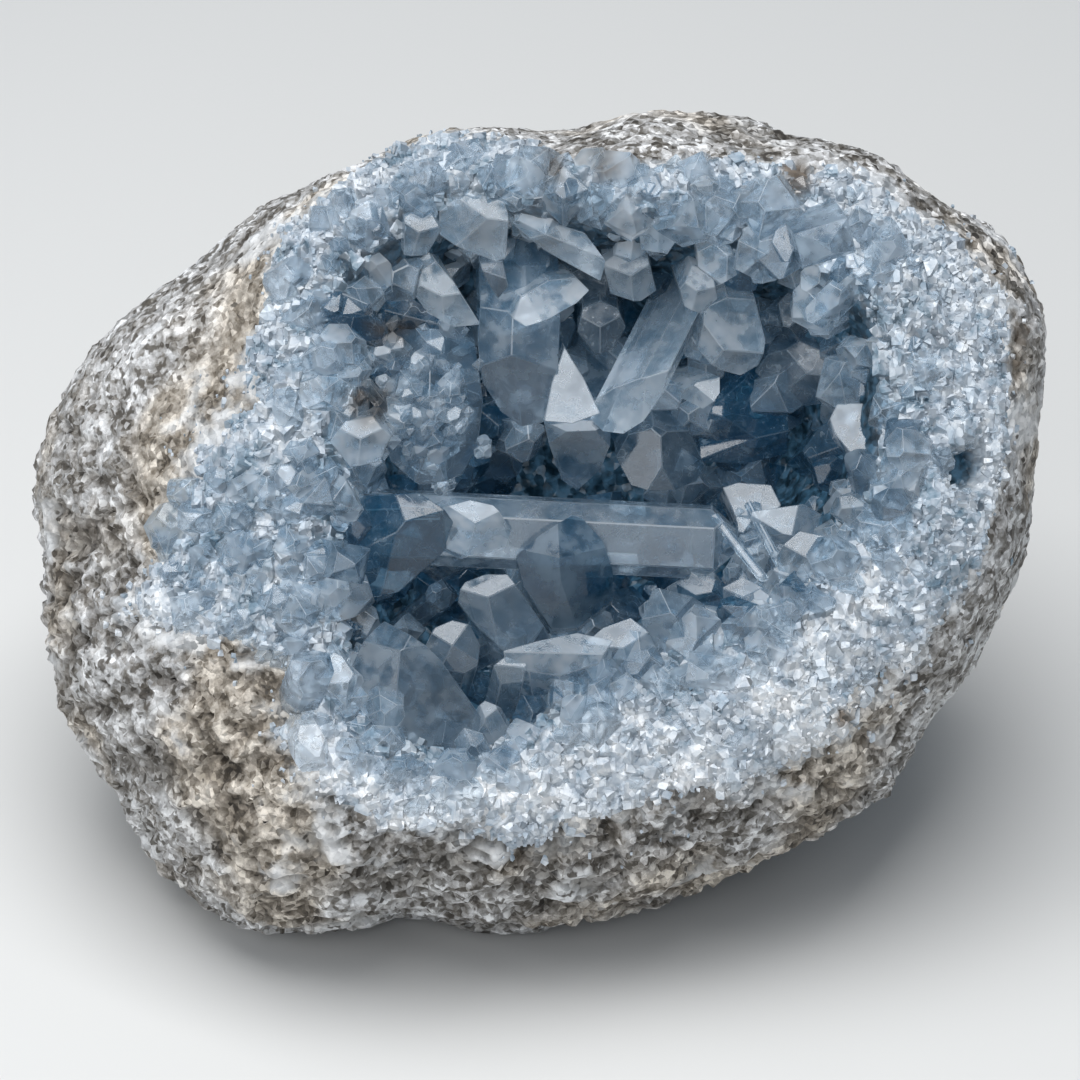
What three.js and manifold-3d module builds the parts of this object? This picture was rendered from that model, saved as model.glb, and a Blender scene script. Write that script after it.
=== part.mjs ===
// A celestite geode: an egg-shaped limestone nodule, broken open on one side, whose hollow and rim
// carry one crust of pale blue celestite crystals. Millimetres, +Z up, standing on z = 0.
//
// The stone is first described as it is seen looking into the hollow: u runs right, v up and w
// towards the viewer, from the middle of the hollow's mouth. It is then leaned back, so that the
// hollow looks forwards and up, and cut off flat where it rests.
import * as THREE from "three";
import { ImprovedNoise } from "three/addons/math/ImprovedNoise.js";
import { mergeVertices } from "three/addons/utils/BufferGeometryUtils.js";
import Module from "manifold-3d";

const wasm = await Module();
wasm.setup();

// Driving dimensions of the whole stone
const LEAN_DEG = 35; // the hollow looks this far above the horizon
const REST_HEIGHT = 106; // height of the mouth's middle above the flat spot
const VIEW_DISTANCE = 900; // the outlines below are as seen from this far away
const VIEW_CENTRE = [-9.8, -9.8]; // the point (u, v) that the view looks straight at
const HOLLOW_DEPTH = 54;
const HOLLOW_STEEPNESS = 3.2; // 1 is a cone, more is a flatter floor with steeper walls
const BACK_DEPTH = 108; // how far the back of the stone lies behind the mouth
const BACK_BLUNTNESS = 0.8; // under 1, the back is fuller than an ellipsoid
const EDGE_DROP = 40; // how far the stone's outline lies behind the mouth, on average
const EDGE_DROP_SWING = 14; // it lies this much further behind on the low left side
const EDGE_DROP_DIRECTION_DEG = 215;
const FACETS_PER_EDGE = 11; // of each of the twenty faces that the stone's surface is made from

// The stone's outline around the mouth's middle, (u, v), counterclockwise from the right
const OUTLINE = [
  [90, 21], [88, 40], [84, 46.5], [76.5, 53.5], [65, 58], [61, 62.5], [51, 68.5], [41, 70.2],
  [28, 74], [17, 73], [10.5, 73.7], [-1, 70.6], [-6, 70], [-19.5, 71], [-31.5, 71], [-41.5, 66.2],
  [-58, 58.8], [-68.5, 52], [-75, 45.3], [-94, 33.7], [-102, 25], [-105, 16.3], [-109.5, 2],
  [-108, -9.5], [-104.8, -13.3], [-107.5, -18.5], [-108.5, -25], [-104.5, -44], [-100, -52],
  [-93, -60], [-86, -71.5], [-80.5, -78.2], [-75, -82.3], [-67, -86], [-42, -86.2], [-35, -83.2],
  [-29, -86], [-21, -87.4], [2.5, -84.7], [12.5, -83.3], [22.5, -78.2], [41.5, -70], [57.5, -60.8],
  [63, -55], [65.5, -47.8], [74.5, -37], [78, -27.6], [85, -12], [89.8, 10.8],
];

// The edge where the hollow begins, (u, v)
const MOUTH = [
  [60.8, 13.7], [59.4, 31.4], [52.9, 43], [41, 49.4], [21.6, 54.5], [2, 56.8], [-17.6, 58.4],
  [-33.3, 56], [-44, 48], [-52, 37], [-50, 21.6], [-53.3, 7.8], [-50, -5.9], [-53.3, -21.6],
  [-52, -37.2], [-45, -49], [-31.4, -55], [-15.7, -53.3], [-3, -42], [11.8, -35], [25.5, -30.4],
  [41.2, -21.6], [53, -11.8], [58.8, 0],
];
const MOUTH_TURN = 0.6; // where the mouth's edge comes, of the quarter turn from hollow to outline

// Dents: the small pocket of crystals left of the hollow, and two notches in the outline
const DENTS = [
  { at: [-66, -14, -18], radius: 13, depth: 7 },
  { at: [-108, -13, -52], radius: 7, depth: 3.5 },
  { at: [-35, -86, -44], radius: 8, depth: 3.5 },
];
const LUMPS = [
  { span: 46, height: 5.5, shift: 0 }, // shift moves the pattern along, in spans
  { span: 21, height: 2.6, shift: 9 },
];
// Lumps are lower by this share along the outline, and over this width of a quarter turn, so that
// the outline stays as it is given
const CALM_OUTLINE = { share: 0.6, width: 0.12 };

// The crust of crystals
const GAP = 0.5; // between crust and stone
const CRUST_IN_HOLLOW = 3.6; // thickness
const CRUST_ON_RIM = 2.4;
const CRUST_GRAIN = { span: 9, height: 1.6 };
// How far the crust reaches over the rim, from mouth (0) to outline (1), each 15 degrees from the right
const CRUST_REACH = [
  0.86, 0.88, 0.9, 0.9, 0.8, 0.62, 0.5, 0.85, 0.88, 0.75, 0.6, 0.5,
  0.45, 0.6, 0.16, 0.2, 0.27, 0.42, 0.54, 0.55, 0.56, 0.57, 0.72, 0.82,
];
const CRUST_FADE = 0.05; // of the quarter turn, over which it thins out
const CRUST_BORDER = { wander: 0.05, span: 14, shift: 5 }; // wander in quarter turns, shift in spans
const CRUST_DEEPENS = 0.1; // of the quarter turn inside the mouth, over which it gets thicker
const CRUST_TOLERANCE = 0.2; // faces that differ by less become one
const ROOT_DEPTH = 3; // a crystal's root lies this far under the stone's surface

// The large crystals. Each is cut by planes: seen is the outline of its end as seen (u, v),
// counterclockwise, from where its sides run back along its axis, points is the way that the axis
// points, and apex is where the end stands out most, (u, v, w). A facet is turned towards an angle
// (0 right, 90 up) and tilted from facing the viewer, both in degrees, through the apex or some
// millimetres behind it.
const LARGE_CRYSTALS = [
  {
    apex: [-15.5, 23, -6], points: [0.03, -0.84, 0.54], facets: [[130, 34], [62, 30], [265, 38, 1.5]],
    seen: [[-21.5, 35.5], [-22, 28.5], [-21, 21], [-17.5, 15.5], [-13.5, 12.5], [-8.5, 13.5],
      [-6.5, 22.5], [-5.5, 33.5], [-12.5, 37.5]],
  },
  {
    apex: [-8, 37, -6], points: [0.25, -0.3, 0.92], facets: [[95, 27], [75, 33, 0.8]],
    seen: [[-12.5, 32], [-8, 33.5], [-2.5, 36.5], [0, 39], [-2.5, 41.5], [-8, 41], [-13.5, 38],
      [-15, 33.5]],
  },
  {
    apex: [-4, 17.5, -6], points: [0.02, -0.1, 0.99], facets: [[92, 27]],
    seen: [[-5, 28], [-7.5, 21], [-9, 13.5], [-3.5, 13], [2, 15], [-1, 21.5]],
  },
  {
    apex: [7.5, 17, -6], points: [-0.38, -0.74, 0.55], facets: [[255, 12], [210, 20, 0.8]],
    seen: [[0, 14], [2.5, 11.5], [6.5, 11], [10.5, 13.5], [14.5, 19], [15.5, 23.5], [10, 22], [4.5, 20],
      [1, 17.5]],
  },
  {
    apex: [26.5, 27, -7], points: [0.1, -0.5, 0.86], facets: [[55, 26], [200, 30], [285, 38, 0.5]],
    seen: [[21, 27.5], [25.5, 23.5], [29.5, 22.5], [33, 24.5], [34.5, 29], [32.5, 37], [27, 37.5],
      [22.5, 35.5]],
  },
  {
    apex: [27, 13, -15], points: [-0.3, -0.5, 0.81], facets: [[75, 24], [35, 34, 0.5], [255, 40, 1.5]],
    seen: [[22.5, 9.5], [32, 10], [38, 13.5], [33.5, 17.5], [30, 21], [24, 16.5], [22, 10.5]],
  },
  {
    apex: [30.5, 8, -18], points: [0, -0.6, 0.8], facets: [[85, 12], [300, 30, 1]],
    seen: [[30.5, 5], [38.5, 7], [39, 12], [30.5, 10], [21.5, 9], [21.5, 5.5]],
  },
  {
    apex: [22.5, 18, -11], points: [0.3, -0.2, 0.93], facets: [[85, 27], [200, 30, 0.6]],
    seen: [[19, 17.5], [22, 16], [25.5, 19], [25.5, 22], [21, 21], [16, 19]],
  },
  {
    apex: [14, 8.5, -10], points: [0.05, -0.5, 0.86],
    facets: [[85, 36], [265, 22], [185, 32, 1.5], [0, 34, 1.5]],
    seen: [[8, 1], [21, 1.5], [22.5, 4.5], [19.5, 11.5], [12.5, 12.5], [7.5, 11], [5, 6.5]],
  },
  {
    apex: [-1.5, 10, -9], points: [0, -0.55, 0.83], facets: [[100, 30], [195, 24], [330, 26], [265, 34, 2]],
    seen: [[-7.5, 7.5], [-5.5, 2], [-2.5, 0], [2, 4], [4, 9], [4, 13.5], [-2, 13.5], [-9, 13]],
  },
  {
    apex: [-20, -21, -8], points: [-0.25, 0.45, 0.86], facets: [[95, 34], [225, 26], [330, 22]],
    seen: [[-22, -27], [-16.5, -32], [-12, -31], [-9, -26.5], [-13.5, -20], [-16, -16.5],
      [-20.5, -16.5], [-24.5, -18], [-26, -22]],
  },
  {
    apex: [-6, -14, -1.5], points: [0, 0.15, 0.99],
    facets: [[120, 33], [55, 36], [275, 26], [215, 33, 0.6], [335, 34, 0.6]],
    seen: [[-10, -9], [-14.5, -13], [-13, -19], [-7.5, -27], [-2.5, -27], [4.5, -21.5], [4.5, -16],
      [2.5, -10], [-1.5, -5.5], [-3.5, -5]],
  },
  {
    apex: [-22.5, -6.5, -5], points: [0.3, 0.1, 0.95], facets: [[90, 28], [200, 25], [320, 30]],
    seen: [[-28, -11.5], [-24, -13], [-16.5, -11], [-15.5, -8], [-19, -3], [-23.5, -2], [-29, -3.5]],
  },
  {
    apex: [-37.5, -6.5, -3], points: [0.45, 0, 0.89], facets: [[85, 34], [215, 24], [310, 30], [150, 38, 1]],
    seen: [[-45, -21.5], [-37.5, -20], [-29.5, -13], [-25.5, -8], [-29, -3.5], [-33.5, -0.5], [-42, -1],
      [-46, -2.5], [-48, -7], [-49.5, -15]],
  },
  {
    apex: [-37, -32, 1.5], points: [-0.05, 0.35, 0.94],
    facets: [[75, 40], [105, 48], [190, 30, 0.5], [290, 12], [335, 24, 0.8]],
    seen: [[-42.5, -27.5], [-47, -32.5], [-50, -41], [-50, -49.5], [-41, -55], [-26.5, -56],
      [-16.5, -53.5], [-16, -49.5], [-21, -41], [-29.5, -33], [-34.5, -27], [-39, -23.5]],
  },
  {
    apex: [-27, -30.5, -4], points: [0.1, 0.3, 0.95], facets: [[95, 30], [20, 28], [200, 28], [280, 26]],
    seen: [[-29.5, -35], [-24.5, -36], [-22, -34.5], [-21.5, -30.5], [-23.5, -26.5], [-27, -25.5],
      [-30.5, -27], [-32.5, -31]],
  },
  {
    apex: [-31.5, 16.5, 0], points: [0.05, -0.3, 0.95],
    facets: [[70, 26], [120, 28], [260, 22], [350, 36, 1.5], [195, 34, 1.5]],
    seen: [[-42.5, 13.5], [-39, 5.5], [-33.5, 1], [-25, 3], [-22, 8.5], [-21, 17.5], [-22.5, 28.5],
      [-29.5, 32.5], [-37, 32], [-41, 27]],
  },
  {
    apex: [-45, 10, 3.5], points: [-0.1, -0.2, 0.97], facets: [[90, 22], [215, 20], [320, 22]],
    seen: [[-47, 4.5], [-41.5, 5.5], [-39, 10.5], [-42.5, 14.5], [-48, 13.5], [-51, 9.5]],
  },
  {
    apex: [-28, 37.5, -6], points: [0.35, -0.6, 0.72], facets: [[75, 30], [230, 28], [310, 26, 0.6]],
    seen: [[-32, 35], [-26.5, 32], [-21.5, 32.5], [-26.5, 40.5], [-30, 44.5], [-33, 42.5], [-35, 39]],
  },
  {
    apex: [-22.5, 53.5, 1], points: [0.1, -0.5, 0.86], facets: [[90, 30], [255, 28], [190, 26, 1]],
    seen: [[-24.5, 47], [-19, 44.5], [-16.5, 45.5], [-16, 54], [-17.5, 58], [-25.5, 58], [-29.5, 54.5],
      [-29.5, 49.5]],
  },
  {
    apex: [-18, 42, -8], points: [0.1, -0.6, 0.79], facets: [[80, 30], [240, 26]],
    seen: [[-20, 40.5], [-18, 37.5], [-16, 40], [-17, 44.5], [-21.5, 44]],
  },
  {
    apex: [-3.5, 48, -3], points: [0.6, -0.55, 0.58], facets: [[70, 30], [245, 30]],
    seen: [[-9, 47], [-4.5, 44.5], [2, 41], [3, 44.5], [-0.5, 50], [-8.5, 52.5], [-12, 49.5]],
  },
  {
    apex: [13.5, 53.5, 0], points: [0, -0.5, 0.87], facets: [[90, 30], [210, 26], [330, 28]],
    seen: [[10, 47], [15.5, 47], [18, 50], [17, 56], [14.5, 60], [11.5, 59.5], [9, 55.5]],
  },
  {
    apex: [2, 32, -10], points: [0, -0.3, 0.95], facets: [[90, 28], [210, 26], [330, 26]],
    seen: [[1, 26.5], [5, 28], [7, 32], [5.5, 35.5], [2, 37], [-1.5, 35.5], [-2.5, 31]],
  },
  {
    apex: [8, 42, -6], points: [0.05, -0.5, 0.86], facets: [[100, 28], [215, 28], [330, 24]],
    seen: [[4, 38.5], [10, 37], [13, 39], [11.5, 45], [6.5, 47], [2.5, 44.5]],
  },
  {
    apex: [21, 39, -5], points: [0.1, -0.4, 0.91], facets: [[80, 30], [200, 26], [310, 26]],
    seen: [[18.5, 36], [22, 34.5], [25, 37.5], [24, 42.5], [20, 44], [17.5, 39.5]],
  },
  {
    apex: [44.5, 36.5, -19], points: [-0.1, -0.4, 0.91], facets: [[100, 34], [215, 30], [330, 30]],
    seen: [[42.5, 29], [47.5, 27], [51.5, 33.5], [51, 39.5], [47.5, 43.5], [41.5, 42.5], [39, 39],
      [38.5, 35]],
  },
  {
    apex: [41.5, 22, -17], points: [-0.15, -0.5, 0.85], facets: [[90, 20], [260, 34, 1], [190, 30, 1]],
    seen: [[37, 19], [41.5, 16.5], [51.5, 18], [50.5, 25], [41, 29], [35, 27], [32, 23]],
  },
  {
    apex: [53, 12, -15], points: [0, 0.1, 0.99], facets: [[92, 27]],
    seen: [[47, 14], [48, 11], [52.5, 5.5], [57, 11.5], [59.5, 16.5], [54, 17], [48.5, 17]],
  },
  {
    apex: [47.5, 8, -15], points: [0.1, 0.1, 0.99], facets: [[150, 30], [250, 30]],
    seen: [[44, 4], [48.5, 4], [52.5, 5.5], [48, 14.5], [44.5, 12], [41.5, 7.5]],
  },
  {
    apex: [32, -3, -14], points: [0, 0.1, 0.99], facets: [[92, 27]],
    seen: [[28.5, -5], [30.5, -8], [34, -6], [37.5, -3], [35.5, 1], [29, 1.5], [26, 0.5]],
  },
  {
    apex: [-18.5, -53.5, 2], points: [0.4, 0.6, 0.69], facets: [[60, 30], [230, 26]],
    seen: [[-22, -58.5], [-16.5, -56], [-13.5, -50.5], [-14.5, -48], [-20.5, -52.5], [-23.5, -56]],
  },
  {
    apex: [-5, -32, -1], points: [-0.05, 0.35, 0.94], facets: [[90, 38], [265, 16]],
    seen: [[-16.5, -34], [-12, -35.5], [-6, -36.5], [2, -34], [4.5, -29.5], [-2.5, -28], [-10, -29.5],
      [-17, -31.5]],
  },
  {
    apex: [6.5, -31, -2], points: [-0.1, 0.4, 0.91], facets: [[100, 34], [240, 22], [335, 24]],
    seen: [[0.5, -35.5], [4.5, -38], [12, -35], [13, -29.5], [8, -25], [2.5, -27], [-1, -30]],
  },
  {
    apex: [-16, -34.5, -1.5], points: [0.1, 0.4, 0.91], facets: [[90, 30], [260, 24]],
    seen: [[-17.5, -38], [-13, -37.5], [-12.5, -34], [-16.5, -32.5], [-19, -34.5]],
  },
  {
    apex: [15, -28.5, -7], points: [-0.2, 0.4, 0.9], facets: [[70, 30], [235, 24]],
    seen: [[13.5, -32], [17, -31.5], [20, -29.5], [15.5, -26.5], [10.5, -25]],
  },
  {
    apex: [22, -32, -3], points: [-0.2, 0.45, 0.87], facets: [[85, 32], [235, 22], [330, 26]],
    seen: [[21.5, -35.5], [25.5, -35], [28.5, -32.5], [26, -29.5], [21, -27.5], [16.5, -30.5]],
  },
  {
    apex: [30, -21, -4], points: [-0.05, 0.4, 0.92], facets: [[90, 34], [215, 28], [325, 28]],
    seen: [[26.5, -24], [30.5, -26], [35, -24], [34.5, -19.5], [30, -17], [26, -19]],
  },
  {
    apex: [61.5, 37, 0], points: [-0.3, -0.2, 0.93], facets: [[75, 26], [165, 28], [290, 22]],
    seen: [[53, 37], [57, 31], [61.5, 27], [70, 32.5], [71, 39], [65.5, 45.5], [56.5, 45.5], [52, 43]],
  },
  {
    apex: [56, 23.5, -9], points: [-0.4, -0.2, 0.89], facets: [[90, 24], [185, 34], [290, 26]],
    seen: [[52, 18], [59, 20.5], [59.5, 26], [55, 26.5], [51, 24.5]],
  },
  {
    apex: [44, -14, 0], points: [-0.3, 0.3, 0.9], facets: [[95, 30], [200, 26], [300, 24], [10, 28]],
    seen: [[37, -18], [41, -22], [48, -20], [53, -13.5], [48, -9.5], [41, -8], [36.5, -13]],
  },
  {
    apex: [29, 44, -6], points: [0, -0.5, 0.87], facets: [[90, 32], [215, 30], [320, 30]],
    seen: [[26.5, 40], [32.5, 39], [34, 44.5], [30, 49], [24.5, 46.5]],
  },
  {
    apex: [34, 43.5, -2], points: [-0.05, -0.4, 0.92], facets: [[90, 28], [215, 26], [320, 28]],
    seen: [[32, 40.5], [36.5, 41], [38, 45.5], [34.5, 47], [30.5, 44.5]],
  },
  {
    apex: [-33.5, 50.5, 3], points: [0.15, -0.4, 0.9], facets: [[85, 26], [200, 24], [310, 26]],
    seen: [[-36.5, 46], [-32, 46], [-29, 51], [-32, 56], [-36.5, 53.5]],
  },
  {
    apex: [-9, 60, 1], points: [0, -0.35, 0.94], facets: [[90, 24], [200, 22], [310, 24]],
    seen: [[-13.5, 56], [-8, 55.5], [-2, 57.5], [-2.5, 63], [-10, 66], [-15, 64], [-16, 59]],
  },
  {
    apex: [-35.5, 34, -9], points: [0.3, -0.3, 0.9], facets: [[80, 30], [250, 26]],
    seen: [[-41, 33], [-37, 31.5], [-29, 31.5], [-29.5, 34], [-35.5, 38], [-40.5, 38]],
  },
  {
    apex: [-82, -7.5, -7], points: [0.35, 0.1, 0.93], facets: [[80, 30], [200, 24], [320, 28]],
    seen: [[-83, -14], [-78.5, -9.5], [-80, -2], [-83.5, -2.5], [-86, -6.5]],
  },
  {
    apex: [-60, -3.5, -2], points: [0, 0, 1], facets: [[85, 26], [210, 24], [320, 26]],
    seen: [[-62.5, -6], [-57, -7], [-56.5, -3], [-60.5, 0], [-63.5, -2]],
  },
  {
    apex: [-53, -16, -3], points: [0.1, 0.15, 0.98], facets: [[90, 30], [205, 26], [325, 28]],
    seen: [[-55, -22], [-50, -21], [-49, -13.5], [-53.5, -11], [-57, -16]],
  },
  {
    apex: [-71, -21, -9], points: [0.2, 0.25, 0.95], facets: [[95, 30], [215, 26], [325, 28]],
    seen: [[-76.5, -25.5], [-70.5, -26.5], [-64.5, -24], [-66.5, -17.5], [-73.5, -16.5], [-77, -21.5]],
  },
];

// Crystals seen from the side or end, as columns. Each has its tip as seen (u, v) with its depth w,
// the way it points, its width, thickness, turn about its own axis in degrees, and the slope of its
// end faces in degrees.
const COLUMNS = [
  { tip: [30, -10.5, -17], points: [1, -0.05, 0.03], width: 15, thickness: 14, roll: 40, slope: 50 },
  { tip: [34.5, -18, -5], points: [0.55, -0.72, 0.42], width: 2.8, thickness: 2.4, roll: 20, slope: 40 },
  { tip: [38.5, -17, -5], points: [0.5, -0.75, 0.43], width: 2.6, thickness: 2.2, roll: 60, slope: 40 },
  { tip: [49, -19, -1], points: [-0.3, 0.45, 0.84], width: 10, thickness: 9, roll: 0, slope: 35 },
  { tip: [17, 16, -16], points: [0.5, -0.5, 0.7], width: 9, thickness: 7, roll: 0, slope: 40 },
  { tip: [-38, 25, -9], points: [0.6, -0.3, 0.74], width: 11, thickness: 9, roll: 60, slope: 45 },
  { tip: [-34, 38, -6], points: [0.5, -0.65, 0.57], width: 10, thickness: 8, roll: 35, slope: 45 },
  { tip: [-44, -20, -5], points: [0.75, 0.1, 0.65], width: 11, thickness: 9, roll: 20, slope: 45 },
  { tip: [-49, -33, -3], points: [0.7, 0.2, 0.69], width: 9, thickness: 8, roll: 50, slope: 40 },
  { tip: [47, 41, -5], points: [-0.45, -0.6, 0.66], width: 11, thickness: 9, roll: 15, slope: 42 },
  { tip: [57, 6, -6], points: [-0.8, 0.1, 0.6], width: 10, thickness: 8, roll: 65, slope: 42 },
  { tip: [-9, 50, -3], points: [0.1, -0.7, 0.7], width: 10, thickness: 8, roll: 25, slope: 40 },
  { tip: [-2, -47, 2], points: [0.05, 0.5, 0.86], width: 12, thickness: 10, roll: 15, slope: 40 },
];
const ENDS_LEAN = 0.16; // how far a crystal's end leans off its axis, at most, as a share of its width
const CORNER_LEFT = [0.66, 0.8]; // the share of a corner that its narrow side face leaves
const CORNER_SKEW = 1.25; // over 1, the narrow side faces turn towards the thin sides
const SECOND_SLOPE = [0.85, 1.15]; // slope of the second broad end face, as a share of the first's
const LESSER_SLOPE_DEG = [48, 62]; // slope of the two lesser end faces
const LESSER_SHIFT = [0, 0.2]; // how far these start from the tip, as a share of the thickness
const BLOCK = 160; // side of the block that a large crystal is cut from
const LONGEST = 80; // no crystal's root is looked for further than this behind its tip

// Smaller crystals, strewn over the hollow's wall, over the rim and in the side pocket. Each stands
// out of the surface by a share of its length.
const WALL_CRYSTALS = { count: 38, least: 5.5, most: 11, standsOut: 0.75, from: 0.25, to: 1.02 };
const RIM_CRYSTALS = { count: 38, least: 6, most: 12, standsOut: 0.42, reach: 0.82 };
const POCKET_CRYSTALS = { count: 9, least: 5, most: 8, standsOut: 0.3, spread: 11 };
const SMALL_LENGTH = 1.7; // length per width
const SMALL_THICKNESS = [0.6, 0.95]; // thickness per width
const SMALL_SLOPE_DEG = [32, 54];
const SMALL_STRAY = 0.9; // how far they point away from straight out
const FEW_WIDE_ONES = 1.6; // over 1, there are fewer wide ones than narrow ones
const SLOPE_STEP = 2; // how far apart depths are compared to find which way the surface faces
const SEED = 4170;

const SAMPLES_PER_POINT = 12; // of the outlines
const SAME_POINT = 1e-4; // corners closer than this are one, in millimetres
const SAME_DIRECTION = 1e-5;
const radians = THREE.MathUtils.degToRad;
const noise = new ImprovedNoise();

// Repeatable random numbers from 0 to 1
function randomFrom(seed) {
  let state = seed;
  return () => {
    state = (state + 0x6d2b79f5) | 0;
    let t = Math.imul(state ^ (state >>> 15), 1 | state);
    t = (t + Math.imul(t ^ (t >>> 7), 61 | t)) ^ t;
    return ((t ^ (t >>> 14)) >>> 0) / 2 ** 32;
  };
}

const between = ([low, high], random) => THREE.MathUtils.lerp(low, high, random());

// The radius of a closed curve through points, as a function of the angle around the origin
function radiusByAngle(points) {
  const curve = new THREE.CatmullRomCurve3(
    points.map(([u, v]) => new THREE.Vector3(u, v, 0)), true, "centripetal");
  const samples = curve.getPoints(points.length * SAMPLES_PER_POINT)
    .map((p) => ({ angle: Math.atan2(p.y, p.x), radius: Math.hypot(p.x, p.y) }))
    .sort((a, b) => a.angle - b.angle);
  const last = samples[samples.length - 1];
  samples.unshift({ angle: last.angle - 2 * Math.PI, radius: last.radius });
  samples.push({ angle: samples[1].angle + 2 * Math.PI, radius: samples[1].radius });
  return (angle) => {
    const after = Math.max(1, samples.findIndex((s) => s.angle >= angle));
    const [a, b] = [samples[after - 1], samples[after]];
    const share = (angle - a.angle) / Math.max(b.angle - a.angle, 1e-9);
    return THREE.MathUtils.lerp(a.radius, b.radius, share);
  };
}

const outlineRadius = radiusByAngle(OUTLINE);
const mouthRadius = radiusByAngle(MOUTH);
const crustReach = radiusByAngle(CRUST_REACH.map((reach, i) => {
  const angle = (i / CRUST_REACH.length) * 2 * Math.PI;
  return [reach * Math.cos(angle), reach * Math.sin(angle)];
}));

const edgeDepth = (angle) =>
  -(EDGE_DROP + EDGE_DROP_SWING * Math.cos(angle - radians(EDGE_DROP_DIRECTION_DEG)));
const hollowDepth = (share) => -HOLLOW_DEPTH * (1 - share ** HOLLOW_STEEPNESS);

// A point as seen from the viewing distance, moved to where it really is at its depth
function unseen(point) {
  const spread = 1 - point.z / VIEW_DISTANCE;
  point.x = VIEW_CENTRE[0] + (point.x - VIEW_CENTRE[0]) * spread;
  point.y = VIEW_CENTRE[1] + (point.y - VIEW_CENTRE[1]) * spread;
  return point;
}

// How far a direction is turned from the hollow's floor (0) over the outline (1) to the back (2)
const turnOf = (direction) => Math.acos(THREE.MathUtils.clamp(direction.z, -1, 1)) / (Math.PI / 2);

// Where the stone's surface lies in a direction, before its lumps
function stonePoint(direction) {
  const angle = Math.atan2(direction.y, direction.x);
  const [outer, inner, edge] = [outlineRadius(angle), mouthRadius(angle), edgeDepth(angle)];
  const turn = turnOf(direction);
  let radius, depth;
  if (turn < MOUTH_TURN) {
    radius = inner * (turn / MOUTH_TURN);
    depth = hollowDepth(turn / MOUTH_TURN);
  } else if (turn < 1) {
    const quarter = ((turn - MOUTH_TURN) / (1 - MOUTH_TURN)) * (Math.PI / 2);
    radius = inner + (outer - inner) * Math.sin(quarter);
    depth = edge * (1 - Math.cos(quarter));
  } else {
    const quarter = (turn - 1) * (Math.PI / 2);
    radius = outer * Math.cos(quarter) ** BACK_BLUNTNESS;
    depth = edge - (BACK_DEPTH + edge) * Math.sin(quarter);
  }
  return unseen(new THREE.Vector3(radius * Math.cos(angle), radius * Math.sin(angle), depth));
}

// The depth of the stone's front as seen at (u, v), before its lumps
function frontDepth(u, v) {
  const [angle, radius] = [Math.atan2(v, u), Math.hypot(u, v)];
  const [outer, inner] = [outlineRadius(angle), mouthRadius(angle)];
  if (radius < inner) return hollowDepth(radius / inner);
  const share = Math.min((radius - inner) / (outer - inner), 1);
  return edgeDepth(angle) * (1 - Math.sqrt(1 - share * share));
}

// How far lumps and dents move a point of the surface outwards
function relief(point, turn) {
  const nearOutline = Math.exp(-(((turn - 1) / CALM_OUTLINE.width) ** 2));
  let height = 0;
  for (const { span, height: most, shift } of LUMPS) {
    height += most * noise.noise(point.x / span + shift, point.y / span, point.z / span);
  }
  height *= 1 - CALM_OUTLINE.share * nearOutline;
  for (const { at, radius, depth } of DENTS) {
    const distance = point.distanceTo(new THREE.Vector3(...at));
    height -= depth * Math.exp(-((distance / radius) ** 2));
  }
  return height;
}

// The crust's thickness at a point of the surface, and under 0 where there is none
function crustThickness(point, turn) {
  const angle = Math.atan2(point.y, point.x);
  const { wander, span: wanderSpan, shift } = CRUST_BORDER;
  const stray = wander * noise.noise(point.x / wanderSpan, point.y / wanderSpan, shift);
  const reach = Math.asin(crustReach(angle)) / (Math.PI / 2);
  const border = MOUTH_TURN + (1 - MOUTH_TURN) * reach + stray;
  const cover = THREE.MathUtils.smoothstep(border - turn, 0, CRUST_FADE);
  const inHollow = THREE.MathUtils.smoothstep(MOUTH_TURN - turn, 0, CRUST_DEEPENS);
  const plain = THREE.MathUtils.lerp(CRUST_ON_RIM, CRUST_IN_HOLLOW, inHollow);
  const { span, height } = CRUST_GRAIN;
  const grain = height * noise.noise(point.x / span, point.y / span, point.z / span);
  return cover * (plain + grain + GAP) - (1 - cover) * GAP;
}

// The part's frame: leaned back, and raised so that the flat spot is at z = 0
const standing = new THREE.Matrix4()
  .makeRotationX(radians(90 - LEAN_DEG))
  .setPosition(0, 0, REST_HEIGHT);

// A closed geometry as a solid
function solidFrom(geometry) {
  const bare = new THREE.BufferGeometry()
    .setAttribute("position", geometry.getAttribute("position").clone())
    .setIndex(geometry.index);
  const merged = mergeVertices(bare, SAME_POINT);
  return new wasm.Manifold(new wasm.Mesh({
    numProp: 3,
    vertProperties: merged.attributes.position.array,
    triVerts: new Uint32Array(merged.index.array),
  }));
}

// A solid as a geometry
function geometryFrom(solid) {
  const { vertProperties, triVerts } = solid.getMesh();
  return new THREE.BufferGeometry()
    .setAttribute("position", new THREE.BufferAttribute(vertProperties, 3))
    .setIndex(new THREE.BufferAttribute(triVerts, 1));
}

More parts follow.
